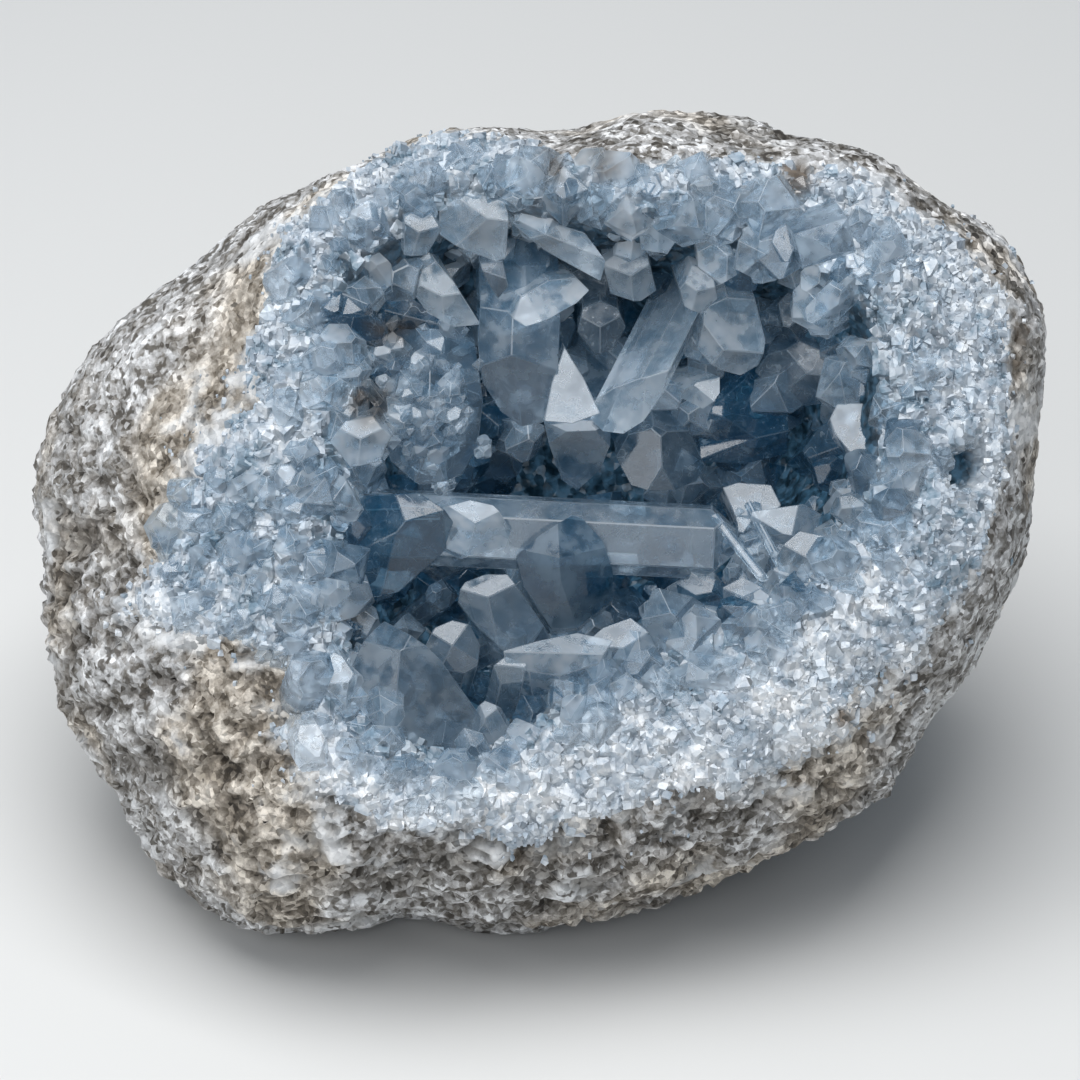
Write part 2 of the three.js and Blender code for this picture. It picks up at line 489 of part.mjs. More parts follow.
// The stone's closed surface, moved out by offset(point, turn), in the part's frame
function stoneSolid(offset) {
  const sphere = new THREE.IcosahedronGeometry(1, FACETS_PER_EDGE - 1);
  sphere.deleteAttribute("normal");
  sphere.deleteAttribute("uv");
  const surface = mergeVertices(sphere, SAME_DIRECTION);
  const position = surface.attributes.position;
  const turns = [];
  const direction = new THREE.Vector3();
  for (let i = 0; i < position.count; i++) {
    direction.fromBufferAttribute(position, i).normalize();
    turns.push(turnOf(direction));
    position.setXYZ(i, ...stonePoint(direction).toArray());
  }
  surface.computeVertexNormals();
  moveOut(surface, (point, i) => relief(point, turns[i]));
  surface.computeVertexNormals();
  moveOut(surface, (point, i) => offset(point, turns[i]));
  surface.applyMatrix4(standing);
  return solidFrom(surface);
}

// Moves each vertex along its normal by distance(point, index)
function moveOut(geometry, distance) {
  const { position, normal } = geometry.attributes;
  const [point, away] = [new THREE.Vector3(), new THREE.Vector3()];
  for (let i = 0; i < position.count; i++) {
    point.fromBufferAttribute(position, i);
    away.fromBufferAttribute(normal, i);
    position.setXYZ(i, ...point.clone().addScaledVector(away, distance(point, i)).toArray());
  }
}

// What is left of a solid on the inner side of a plane that faces outwards
function cutOff(solid, outwards, through) {
  const normal = outwards.clone().normalize();
  const distance = normal.dot(through);
  return solid.trimByPlane(normal.negate().toArray(), -distance);
}

// A crystal along +z from 0 to its length: a flattened column with four narrow faces along its
// corners, unless it is a plain one, and an end of two broad and two lesser sloping faces
function columnSolid({ width, thickness, length, slope, plain }, random) {
  const column = new THREE.BoxGeometry(width, thickness, length).translate(0, 0, length / 2);
  let solid = solidFrom(column);
  const keepBelow = (x, y, z, through) => {
    solid = cutOff(solid, new THREE.Vector3(x, y, z), through);
  };
  const corner = new THREE.Vector3(width / 2, thickness / 2, 0);
  for (const [x, y] of plain ? [] : [[1, 1], [1, -1], [-1, 1], [-1, -1]]) {
    const left = between(CORNER_LEFT, random);
    const through = corner.clone().multiply(new THREE.Vector3(x * left, y * left, 0));
    keepBelow(x * thickness, y * width * CORNER_SKEW, 0, through);
  }
  const lean = width * between([-ENDS_LEAN, ENDS_LEAN], random);
  const end = new THREE.Vector3(lean, 0, length);
  const [first, second] = [radians(slope), radians(slope * between(SECOND_SLOPE, random))];
  keepBelow(Math.sin(first), 0, Math.cos(first), end);
  keepBelow(-Math.sin(second), 0, Math.cos(second), end);
  for (const side of [1, -1]) {
    const lesser = radians(between(LESSER_SLOPE_DEG, random));
    const shift = side * thickness * between(LESSER_SHIFT, random);
    const through = end.clone().add(new THREE.Vector3(0, shift, 0));
    keepBelow(0, side * Math.sin(lesser), Math.cos(lesser), through);
  }
  return solid;
}

// A column in its place, in the part's frame
function placedColumn(shape, tip, points, roll, random) {
  const along = points.clone().normalize();
  const across = new THREE.Vector3(0, 1, 0).cross(along).normalize();
  const matrix = new THREE.Matrix4()
    .makeBasis(across, along.clone().cross(across), along)
    .multiply(new THREE.Matrix4().makeRotationZ(radians(roll)))
    .setPosition(tip.clone().addScaledVector(along, -shape.length));
  return columnSolid(shape, random).transform(standing.clone().multiply(matrix).elements);
}

// How far a crystal with its tip as seen at (u, v, w) runs back until its root is in the stone
function lengthToRoot(tip, points) {
  const root = tip.clone();
  const step = points.clone().normalize().multiplyScalar(-1);
  let length = 0;
  while (root.z > frontDepth(root.x, root.y) - ROOT_DEPTH && length < LONGEST) {
    root.add(step);
    length += 1;
  }
  return length;
}

// The vector towards an angle around the view's direction, tilted from facing the viewer
function facing(towardsDeg, tiltDeg) {
  const [towards, tilt] = [radians(towardsDeg), radians(tiltDeg)];
  return new THREE.Vector3(
    Math.cos(towards) * Math.sin(tilt), Math.sin(towards) * Math.sin(tilt), Math.cos(tilt));
}

// A large crystal in its place, cut from a block around its axis
function largeCrystal({ apex, points, facets, seen }) {
  const [tip, along] = [new THREE.Vector3(...apex), new THREE.Vector3(...points).normalize()];
  const length = lengthToRoot(tip, along);
  unseen(tip);
  const ends = facets.map(([towards, tilt, behind = 0]) => (
    { normal: facing(towards, tilt), through: tip.clone().setZ(tip.z - behind) }));
  const endDepth = (u, v) => Math.min(...ends.map(({ normal, through }) =>
    through.z - (normal.x * (u - through.x) + normal.y * (v - through.y)) / normal.z));
  const corners = seen.map(([u, v]) => unseen(new THREE.Vector3(u, v, endDepth(u, v))));
  const root = tip.clone().addScaledVector(along, -length);
  const block = new THREE.BoxGeometry(1, 1, 1).scale(BLOCK, BLOCK, BLOCK).translate(...tip.toArray());
  let solid = cutOff(solidFrom(block), along.clone().negate(), root);
  for (const { normal, through } of ends) solid = cutOff(solid, normal, through);
  corners.forEach((corner, i) => {
    const edge = corners[(i + 1) % corners.length].clone().sub(corner);
    solid = cutOff(solid, edge.cross(along), corner);
  });
  return solid.transform(standing.elements);
}

function columns(random) {
  return COLUMNS.map(({ tip, points, width, thickness, roll, slope }) => {
    const [seen, axis] = [new THREE.Vector3(...tip), new THREE.Vector3(...points)];
    const length = lengthToRoot(seen, axis) + width / 4;
    return placedColumn({ width, thickness, length, slope }, unseen(seen), axis, roll, random);
  });
}

// A small crystal that stands out of the front at (u, v)
function smallCrystal(u, v, { least, most, standsOut }, random) {
  const width = THREE.MathUtils.lerp(least, most, random() ** FEW_WIDE_ONES);
  const shape = { width, length: width * SMALL_LENGTH, plain: true };
  shape.thickness = width * between(SMALL_THICKNESS, random);
  shape.slope = between(SMALL_SLOPE_DEG, random);
  const rise = (du, dv) =>
    (frontDepth(u + du, v + dv) - frontDepth(u - du, v - dv)) / (2 * SLOPE_STEP);
  const points = new THREE.Vector3(-rise(SLOPE_STEP, 0), -rise(0, SLOPE_STEP), 1).normalize();
  const stray = new THREE.Vector3(random() - 0.5, random() - 0.5, random());
  points.addScaledVector(stray, SMALL_STRAY).normalize();
  const tip = new THREE.Vector3(u, v, frontDepth(u, v));
  tip.addScaledVector(points, shape.length * standsOut);
  return placedColumn(shape, unseen(tip), points, 180 * random(), random);
}

// The small crystals of a family, each where place() puts it: a radius, and an angle around the
// point that they are spread about
function strewn(family, random, place, [u, v] = [0, 0]) {
  return Array.from({ length: family.count }, () => {
    const [radius, angle] = place(random() * 2 * Math.PI - Math.PI);
    return smallCrystal(
      u + radius * Math.cos(angle), v + radius * Math.sin(angle), family, random);
  });
}

function wallCrystals(random) {
  const { from, to } = WALL_CRYSTALS;
  return strewn(WALL_CRYSTALS, random, (angle) => {
    const share = Math.sqrt(between([from ** 2, to ** 2], random));
    return [mouthRadius(angle) * share, angle];
  });
}

function rimCrystals(random) {
  return strewn(RIM_CRYSTALS, random, (angle) => {
    const share = crustReach(angle) * RIM_CRYSTALS.reach * random();
    return [THREE.MathUtils.lerp(mouthRadius(angle), outlineRadius(angle), share), angle];
  });
}

function pocketCrystals(random) {
  const spread = (angle) => [POCKET_CRYSTALS.spread * Math.sqrt(random()), angle];
  return strewn(POCKET_CRYSTALS, random, spread, DENTS[0].at);
}

// The stone, cut off flat at z = 0
function limestoneShell() {
  const [wide, deep] = [4 * BACK_DEPTH, BACK_DEPTH]; // larger than the stone
  const below = new THREE.BoxGeometry(wide, wide, deep).translate(0, 0, -deep / 2);
  return stoneSolid(() => 0).subtract(solidFrom(below));
}

// The crust with all its crystals, grown together, clear of the stone by the gap
function crystalCrust() {
  const random = randomFrom(SEED);
  const crystals = [
    ...LARGE_CRYSTALS.map(largeCrystal), ...columns(random), ...wallCrystals(random),
    ...rimCrystals(random), ...pocketCrystals(random),
  ];
  const grown = crystals.reduce((all, one) => all.add(one), stoneSolid(crustThickness));
  // In a sharp crease the surface moved out by the gap folds in, so the stone is taken off as well
  const clearOf = [GAP, GAP / 4, 0].map((gap) => stoneSolid(() => gap)).reduce((a, b) => a.add(b));
  const pieces = grown.subtract(clearOf).simplify(CRUST_TOLERANCE).decompose();
  return pieces.reduce((largest, piece) => (piece.volume() > largest.volume() ? piece : largest));
}

function mesh(name, solid, colour, roughness) {
  const material = new THREE.MeshStandardMaterial({ color: colour, roughness, flatShading: true });
  const made = new THREE.Mesh(geometryFrom(solid), material);
  made.name = name;
  return made;
}

const geode = new THREE.Group();
geode.add(
  mesh("limestone_shell", limestoneShell(), 0x9b9894, 0.9),
  mesh("crystal_crust", crystalCrust(), 0x7f97ab, 0.2),
);

// The origin is the middle of the part's box, on the surface it stands on
const middle = new THREE.Box3().setFromObject(geode).getCenter(new THREE.Vector3());
geode.position.set(-middle.x, -middle.y, 0);

export default geode;
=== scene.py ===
"""The looks of a celestite geode: rough grey limestone around a hollow crusted with pale blue crystals.

Lengths are written in millimetres and turned into Blender's metres where a mesh is made. The stone
is described as it is seen looking into the hollow: u runs right, v up and w towards the viewer, from
the middle of the hollow's mouth. place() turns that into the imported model's frame.
"""
import math
import random

import bmesh
import bpy
import numpy as np
from mathutils import Matrix, Vector, noise
from mathutils.bvhtree import BVHTree


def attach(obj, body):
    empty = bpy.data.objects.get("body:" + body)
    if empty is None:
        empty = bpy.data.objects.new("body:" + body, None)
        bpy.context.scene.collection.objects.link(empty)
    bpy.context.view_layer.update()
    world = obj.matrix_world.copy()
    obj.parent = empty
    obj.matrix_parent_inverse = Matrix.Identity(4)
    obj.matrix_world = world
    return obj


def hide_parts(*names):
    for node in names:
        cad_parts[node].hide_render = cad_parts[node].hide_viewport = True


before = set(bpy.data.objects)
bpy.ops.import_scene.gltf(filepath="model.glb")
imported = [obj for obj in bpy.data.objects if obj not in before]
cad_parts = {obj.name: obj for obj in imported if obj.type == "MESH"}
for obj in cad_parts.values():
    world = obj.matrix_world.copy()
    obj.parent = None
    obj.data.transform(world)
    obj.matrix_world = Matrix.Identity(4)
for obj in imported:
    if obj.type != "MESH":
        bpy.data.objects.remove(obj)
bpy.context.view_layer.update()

MM = 0.001
LEAN = math.radians(35)  # the hollow looks this far above the horizon
MIDDLE = Vector((12.047, -34.983, 106))  # of the hollow's mouth, in the model's frame
VIEW_DISTANCE = 900
VIEW_CENTRE = Vector((-9.8, -9.8))
VIEW_WIDTH = 211.7  # what the photo shows from side to side at the mouth's depth

RIGHT = Vector((1, 0, 0))
UP = Vector((0, math.sin(LEAN), math.cos(LEAN)))
NEAR = Vector((0, -math.cos(LEAN), math.sin(LEAN)))
VIEW_AXES = Matrix((RIGHT, UP, NEAR)).transposed()

# The stone's outline around the mouth's middle, (u, v), and the edge where the hollow begins
OUTLINE = [
    (90, 21), (88, 40), (84, 46.5), (76.5, 53.5), (65, 58), (61, 62.5), (51, 68.5), (41, 70.2),
    (28, 74), (17, 73), (10.5, 73.7), (-1, 70.6), (-6, 70), (-19.5, 71), (-31.5, 71), (-41.5, 66.2),
    (-58, 58.8), (-68.5, 52), (-75, 45.3), (-94, 33.7), (-102, 25), (-105, 16.3), (-109.5, 2),
    (-108, -9.5), (-104.8, -13.3), (-107.5, -18.5), (-108.5, -25), (-104.5, -44), (-100, -52),
    (-93, -60), (-86, -71.5), (-80.5, -78.2), (-75, -82.3), (-67, -86), (-42, -86.2), (-35, -83.2),
    (-29, -86), (-21, -87.4), (2.5, -84.7), (12.5, -83.3), (22.5, -78.2), (41.5, -70), (57.5, -60.8),
    (63, -55), (65.5, -47.8), (74.5, -37), (78, -27.6), (85, -12), (89.8, 10.8),
]
MOUTH = [
    (60.8, 13.7), (59.4, 31.4), (52.9, 43), (41, 49.4), (21.6, 54.5), (2, 56.8), (-17.6, 58.4),
    (-33.3, 56), (-44, 48), (-52, 37), (-50, 21.6), (-53.3, 7.8), (-50, -5.9), (-53.3, -21.6),
    (-52, -37.2), (-45, -49), (-31.4, -55), (-15.7, -53.3), (-3, -42), (11.8, -35), (25.5, -30.4),
    (41.2, -21.6), (53, -11.8), (58.8, 0),
]
# How far the crust reaches from mouth (0) to outline (1), each 15 degrees from the right
CRUST_REACH = [
    0.7, 0.72, 0.74, 0.72, 0.6, 0.45, 0.38, 0.78, 0.84, 0.7, 0.48, 0.3,
    0.46, 0.6, 0.16, 0.2, 0.27, 0.42, 0.54, 0.55, 0.56, 0.57, 0.64, 0.68,
]
EDGE_DROP, EDGE_DROP_SWING, EDGE_DROP_DIRECTION = 40, 14, math.radians(215)
ROOT_DEPTH = 3  # a crystal's root lies this far under the stone's surface

# Dark gaps between the crystals, (u, v, radius)
DARK_GAPS = [
    (14, -23, 7), (20, -22, 6), (-33, -21, 5), (43, 6, 6), (-48, 36, 4), (-51, -35, 4), (-16, -12, 3),
]

# Brown stains, (u, v, radius)
STAINS = [
    (-43, 16.5, 4.5), (-46, -23, 2.5), (-7.5, 63, 4), (4, 64, 3), (41, 61, 4), (50, -45, 2.2),
    (84.5, 31, 2.5), (83.5, 25, 2), (-38, 31, 3),
]
# Tips of large crystals that small ones grew over: (u, v, w), how far they spread, how many
OVERGROWN = [((-33, 15, 0), (6, 8), 70), ((31.5, -13, -9), (2.5, 4), 26), ((-46, 24, -2), (5, 6), 30)]
VUG = (73.5, 5, 4.6)  # a small hole in the rim, (u, v, radius)
VUG_STRETCH = 1.3  # it is this much higher than wide
VUG_DEPTH = 6.5
POCKET = (-67, -12, 17)  # the druse-lined hollow at the left, (u, v, radius)

# How many small crystals there are
WALL_CRYSTALS, FILLERS, RING_CRYSTALS, RIM_CRYSTALS, POCKET_CRYSTALS = 330, 150, 225, 540, 90
RIM_GRAINS, STRAY_GRAINS = 6600, 900
GRAIN_SHAPES = 14

LARGE_BLUNTNESS, COLUMN_BLUNTNESS, FILLER_BLUNTNESS, SMALL_BLUNTNESS = 0.16, 0.2, 0.15, 0.1

CELESTITE_IOR = 1.62
CRYSTAL_TRANSMISSION = 0.76
CLEAR_ROUGHNESS, MILKY_ROUGHNESS = 0.03, 0.6
BROWN = (0.17, 0.12, 0.075)  # a stained crystal's colour

# Kinds of crystal: how milky, how deep a blue, and how smoky, each from 0 to 1
LOOKS = {
    "clear": (0.35, 0.15, 0.05), "pale": (0.55, 0.1, 0.0), "blue": (0.5, 0.45, 0.0),
    "deep": (0.1, 0.9, 0.2), "smoky": (0.2, 0.5, 0.6), "frost": (0.9, 0.05, 0.0),
    "mirror": (0.7, 0.1, 0.1), "rich": (0.65, 0.8, 0.0), "coated": (0.3, 0.8, 0.15),
    "big": (0.6, 0.3, 0.1),
}

# The large crystals: look, apex (u, v, w), the way it points, facets (towards, tilt, behind), and
# the outline of its end as seen (u, v)
LARGE_CRYSTALS = [
    ("blue", (-15.5, 23, -6), (0.03, -0.84, 0.54),
     [(150, 22), (40, 16), (265, 34, 3)],
     [(-21.5, 35.5), (-22, 28.5), (-21, 21), (-17.5, 15.5), (-13.5, 12.5), (-8.5, 13.5),
      (-6.5, 22.5), (-5.5, 33.5), (-12.5, 37.5)]),
    ("frost", (-8, 37, -6), (0.25, -0.3, 0.92),
     [(95, 27), (75, 33, 0.8)],
     [(-12.5, 32), (-8, 33.5), (-2.5, 36.5), (0, 39), (-2.5, 41.5), (-8, 41), (-13.5, 38),
      (-15, 33.5)]),
    ("mirror", (-4, 17.5, -6), (0.02, -0.1, 0.99),
     [(92, 27)],
     [(-5, 28), (-7.5, 21), (-9, 13.5), (-3.5, 13), (2, 15), (-1, 21.5)]),
    ("pale", (7.5, 17, -6), (-0.38, -0.74, 0.55),
     [(255, 12), (210, 20, 0.8)],
     [(0, 14), (2.5, 11.5), (6.5, 11), (10.5, 13.5), (14.5, 19), (15.5, 23.5), (10, 22), (4.5, 20),
      (1, 17.5)]),
    ("pale", (26.5, 27, -7), (0.1, -0.5, 0.86),
     [(55, 26), (200, 30), (285, 38, 0.5)],
     [(21, 27.5), (25.5, 23.5), (29.5, 22.5), (33, 24.5), (34.5, 29), (32.5, 37), (27, 37.5),
      (22.5, 35.5)]),
    ("deep", (27, 13, -15), (-0.3, -0.5, 0.81),
     [(75, 24), (35, 34, 0.5), (255, 40, 1.5)],
     [(22.5, 9.5), (32, 10), (38, 13.5), (33.5, 17.5), (30, 21), (24, 16.5), (22, 10.5)]),
    ("deep", (30.5, 8, -18), (0, -0.6, 0.8),
     [(85, 12), (300, 30, 1)],
     [(30.5, 5), (38.5, 7), (39, 12), (30.5, 10), (21.5, 9), (21.5, 5.5)]),
    ("mirror", (22.5, 18, -11), (0.3, -0.2, 0.93),
     [(85, 27), (200, 30, 0.6)],
     [(19, 17.5), (22, 16), (25.5, 19), (25.5, 22), (21, 21), (16, 19)]),
    ("smoky", (14, 8.5, -10), (0.05, -0.5, 0.86),
     [(85, 36), (265, 22), (185, 32, 1.5), (0, 34, 1.5)],
     [(8, 1), (21, 1.5), (22.5, 4.5), (19.5, 11.5), (12.5, 12.5), (7.5, 11), (5, 6.5)]),
    ("blue", (-1.5, 10, -9), (0, -0.55, 0.83),
     [(100, 30), (195, 24), (330, 26), (265, 34, 2)],
     [(-7.5, 7.5), (-5.5, 2), (-2.5, 0), (2, 4), (4, 9), (4, 13.5), (-2, 13.5), (-9, 13)]),
    ("blue", (-20, -21, -8), (-0.25, 0.45, 0.86),
     [(95, 34), (225, 26), (330, 22)],
     [(-22, -27), (-16.5, -32), (-12, -31), (-9, -26.5), (-13.5, -20), (-16, -16.5),
      (-20.5, -16.5), (-24.5, -18), (-26, -22)]),
    ("rich", (-6, -14, -1.5), (0, 0.15, 0.99),
     [(120, 33), (55, 36), (275, 26), (215, 33, 0.6), (335, 34, 0.6)],
     [(-10, -9), (-14.5, -13), (-13, -19), (-7.5, -27), (-2.5, -27), (4.5, -21.5), (4.5, -16),
      (2.5, -10), (-1.5, -5.5), (-3.5, -5)]),
    ("frost", (-22.5, -6.5, -5), (0.3, 0.1, 0.95),
     [(90, 28), (200, 25), (320, 30)],
     [(-28, -11.5), (-24, -13), (-16.5, -11), (-15.5, -8), (-19, -3), (-23.5, -2), (-29, -3.5)]),
    ("deep", (-37.5, -6.5, -3), (0.45, 0, 0.89),
     [(85, 34), (215, 24), (310, 30), (150, 38, 1)],
     [(-45, -21.5), (-37.5, -20), (-29.5, -13), (-25.5, -8), (-29, -3.5), (-33.5, -0.5), (-42, -1),
      (-46, -2.5), (-48, -7), (-49.5, -15)]),
    ("big", (-37, -32, 1.5), (-0.05, 0.35, 0.94),
     [(75, 40), (105, 48), (190, 30, 0.5), (290, 12), (335, 24, 0.8)],
     [(-42.5, -27.5), (-47, -32.5), (-50, -41), (-50, -49.5), (-41, -55), (-26.5, -56),
      (-16.5, -53.5), (-16, -49.5), (-21, -41), (-29.5, -33), (-34.5, -27), (-39, -23.5)]),
    ("clear", (-27, -30.5, -4), (0.1, 0.3, 0.95),
     [(95, 30), (20, 28), (200, 28), (280, 26)],
     [(-29.5, -35), (-24.5, -36), (-22, -34.5), (-21.5, -30.5), (-23.5, -26.5), (-27, -25.5),
      (-30.5, -27), (-32.5, -31)]),
    ("coated", (-31.5, 16.5, 0), (0.05, -0.3, 0.95),
     [(55, 38), (130, 40), (255, 22), (350, 36, 1.5), (195, 34, 1.5)],
     [(-42.5, 13.5), (-39, 5.5), (-33.5, 1), (-25, 3), (-22, 8.5), (-21, 17.5), (-22.5, 28.5),
      (-29.5, 32.5), (-37, 32), (-41, 27)]),
    ("frost", (-45, 10, 3.5), (-0.1, -0.2, 0.97),
     [(90, 22), (215, 20), (320, 22)],
     [(-47, 4.5), (-41.5, 5.5), (-39, 10.5), (-42.5, 14.5), (-48, 13.5), (-51, 9.5)]),
    ("pale", (-28, 37.5, -6), (0.35, -0.6, 0.72),
     [(75, 30), (230, 28), (310, 26, 0.6)],
     [(-32, 35), (-26.5, 32), (-21.5, 32.5), (-26.5, 40.5), (-30, 44.5), (-33, 42.5), (-35, 39)]),
    ("pale", (-22.5, 53.5, 1), (0.1, -0.5, 0.86),
     [(90, 30), (255, 28), (190, 26, 1)],
     [(-24.5, 47), (-19, 44.5), (-16.5, 45.5), (-16, 54), (-17.5, 58), (-25.5, 58), (-29.5, 54.5),
      (-29.5, 49.5)]),
    ("smoky", (-18, 42, -8), (0.1, -0.6, 0.79),
     [(80, 30), (240, 26)],
     [(-20, 40.5), (-18, 37.5), (-16, 40), (-17, 44.5), (-21.5, 44)]),
    ("pale", (-3.5, 48, -3), (0.6, -0.55, 0.58),
     [(70, 30), (245, 30)],
     [(-9, 47), (-4.5, 44.5), (2, 41), (3, 44.5), (-0.5, 50), (-8.5, 52.5), (-12, 49.5)]),
    ("blue", (13.5, 53.5, 0), (0, -0.5, 0.87),
     [(90, 30), (210, 26), (330, 28)],
     [(10, 47), (15.5, 47), (18, 50), (17, 56), (14.5, 60), (11.5, 59.5), (9, 55.5)]),
    ("smoky", (2, 32, -10), (0, -0.3, 0.95),
     [(90, 28), (210, 26), (330, 26)],
     [(1, 26.5), (5, 28), (7, 32), (5.5, 35.5), (2, 37), (-1.5, 35.5), (-2.5, 31)]),
    ("blue", (8, 42, -6), (0.05, -0.5, 0.86),
     [(100, 28), (215, 28), (330, 24)],
     [(4, 38.5), (10, 37), (13, 39), (11.5, 45), (6.5, 47), (2.5, 44.5)]),
    ("frost", (21, 39, -5), (0.1, -0.4, 0.91),
     [(80, 30), (200, 26), (310, 26)],
     [(18.5, 36), (22, 34.5), (25, 37.5), (24, 42.5), (20, 44), (17.5, 39.5)]),
    ("deep", (44.5, 36.5, -19), (-0.1, -0.4, 0.91),
     [(100, 34), (215, 30), (330, 30)],
     [(42.5, 29), (47.5, 27), (51.5, 33.5), (51, 39.5), (47.5, 43.5), (41.5, 42.5), (39, 39),
      (38.5, 35)]),
    ("smoky", (41.5, 22, -17), (-0.15, -0.5, 0.85),
     [(90, 20), (260, 34, 1), (190, 30, 1)],
     [(37, 19), (41.5, 16.5), (51.5, 18), (50.5, 25), (41, 29), (35, 27), (32, 23)]),
    ("mirror", (53, 12, -8), (0, 0.1, 0.99),
     [(92, 27)],
     [(47, 14), (48, 11), (52.5, 5.5), (57, 11.5), (59.5, 16.5), (54, 17), (48.5, 17)]),
    ("deep", (47.5, 8, -15), (0.1, 0.1, 0.99),
     [(150, 30), (250, 30)],
     [(44, 4), (48.5, 4), (52.5, 5.5), (48, 14.5), (44.5, 12), (41.5, 7.5)]),
    ("mirror", (32, -3, -14), (0, 0.1, 0.99),
     [(92, 27)],
     [(28.5, -5), (30.5, -8), (34, -6), (37.5, -3), (35.5, 1), (29, 1.5), (26, 0.5)]),
    ("frost", (-18.5, -53.5, 2), (0.4, 0.6, 0.69),
     [(60, 30), (230, 26)],
     [(-22, -58.5), (-16.5, -56), (-13.5, -50.5), (-14.5, -48), (-20.5, -52.5), (-23.5, -56)]),
    ("frost", (-5, -32, -1), (-0.05, 0.35, 0.94),
     [(90, 38), (265, 16)],
     [(-16.5, -34), (-12, -35.5), (-6, -36.5), (2, -34), (4.5, -29.5), (-2.5, -28), (-10, -29.5),
      (-17, -31.5)]),
    ("blue", (6.5, -31, -2), (-0.1, 0.4, 0.91),
     [(100, 34), (240, 22), (335, 24)],
     [(0.5, -35.5), (4.5, -38), (12, -35), (13, -29.5), (8, -25), (2.5, -27), (-1, -30)]),
    ("blue", (-16, -34.5, -1.5), (0.1, 0.4, 0.91),
     [(90, 30), (260, 24)],
     [(-17.5, -38), (-13, -37.5), (-12.5, -34), (-16.5, -32.5), (-19, -34.5)]),
    ("deep", (15, -28.5, -7), (-0.2, 0.4, 0.9),
     [(70, 30), (235, 24)],
     [(13.5, -32), (17, -31.5), (20, -29.5), (15.5, -26.5), (10.5, -25)]),
    ("blue", (22, -32, -3), (-0.2, 0.45, 0.87),
     [(85, 32), (235, 22), (330, 26)],
     [(21.5, -35.5), (25.5, -35), (28.5, -32.5), (26, -29.5), (21, -27.5), (16.5, -30.5)]),
    ("blue", (30, -21, -4), (-0.05, 0.4, 0.92),
     [(90, 34), (215, 28), (325, 28)],
     [(26.5, -24), (30.5, -26), (35, -24), (34.5, -19.5), (30, -17), (26, -19)]),
    ("blue", (61.5, 37, 0), (-0.3, -0.2, 0.93),
     [(75, 26), (165, 28), (290, 22)],
     [(53, 37), (57, 31), (61.5, 27), (70, 32.5), (71, 39), (65.5, 45.5), (56.5, 45.5), (52, 43)]),
    ("blue", (56, 23.5, -9), (-0.4, -0.2, 0.89),
     [(90, 24), (185, 34), (290, 26)],
     [(52, 18), (59, 20.5), (59.5, 26), (55, 26.5), (51, 24.5)]),
    ("clear", (44, -14, 0), (-0.3, 0.3, 0.9),
     [(95, 30), (200, 26), (300, 24), (10, 28)],
     [(37, -18), (41, -22), (48, -20), (53, -13.5), (48, -9.5), (41, -8), (36.5, -13)]),
    ("deep", (29, 44, -6), (0, -0.5, 0.87),
     [(90, 32), (215, 30), (320, 30)],
     [(26.5, 40), (32.5, 39), (34, 44.5), (30, 49), (24.5, 46.5)]),
    ("clear", (34, 43.5, -2), (-0.05, -0.4, 0.92),
     [(90, 28), (215, 26), (320, 28)],
     [(32, 40.5), (36.5, 41), (38, 45.5), (34.5, 47), (30.5, 44.5)]),
    ("clear", (-33.5, 50.5, 3), (0.15, -0.4, 0.9),
     [(85, 26), (200, 24), (310, 26)],
     [(-36.5, 46), (-32, 46), (-29, 51), (-32, 56), (-36.5, 53.5)]),
    ("pale", (-9, 60, 1), (0, -0.35, 0.94),
     [(90, 24), (200, 22), (310, 24)],
     [(-13.5, 56), (-8, 55.5), (-2, 57.5), (-2.5, 63), (-10, 66), (-15, 64), (-16, 59)]),
    ("deep", (-35.5, 34, -9), (0.3, -0.3, 0.9),
     [(80, 30), (250, 26)],
     [(-41, 33), (-37, 31.5), (-29, 31.5), (-29.5, 34), (-35.5, 38), (-40.5, 38)]),
    ("frost", (-82, -7.5, -7), (0.35, 0.1, 0.93),
     [(80, 30), (200, 24), (320, 28)],
     [(-83, -14), (-78.5, -9.5), (-80, -2), (-83.5, -2.5), (-86, -6.5)]),
    ("frost", (-60, -3.5, -2), (0, 0, 1),
     [(85, 26), (210, 24), (320, 26)],
     [(-62.5, -6), (-57, -7), (-56.5, -3), (-60.5, 0), (-63.5, -2)]),
    ("blue", (-53, -16, -3), (0.1, 0.15, 0.98),
     [(90, 30), (205, 26), (325, 28)],
     [(-55, -22), (-50, -21), (-49, -13.5), (-53.5, -11), (-57, -16)]),
    ("blue", (-71, -21, -9), (0.2, 0.25, 0.95),
     [(95, 30), (215, 26), (325, 28)],
     [(-76.5, -25.5), (-70.5, -26.5), (-64.5, -24), (-66.5, -17.5), (-73.5, -16.5), (-77, -21.5)]),
]
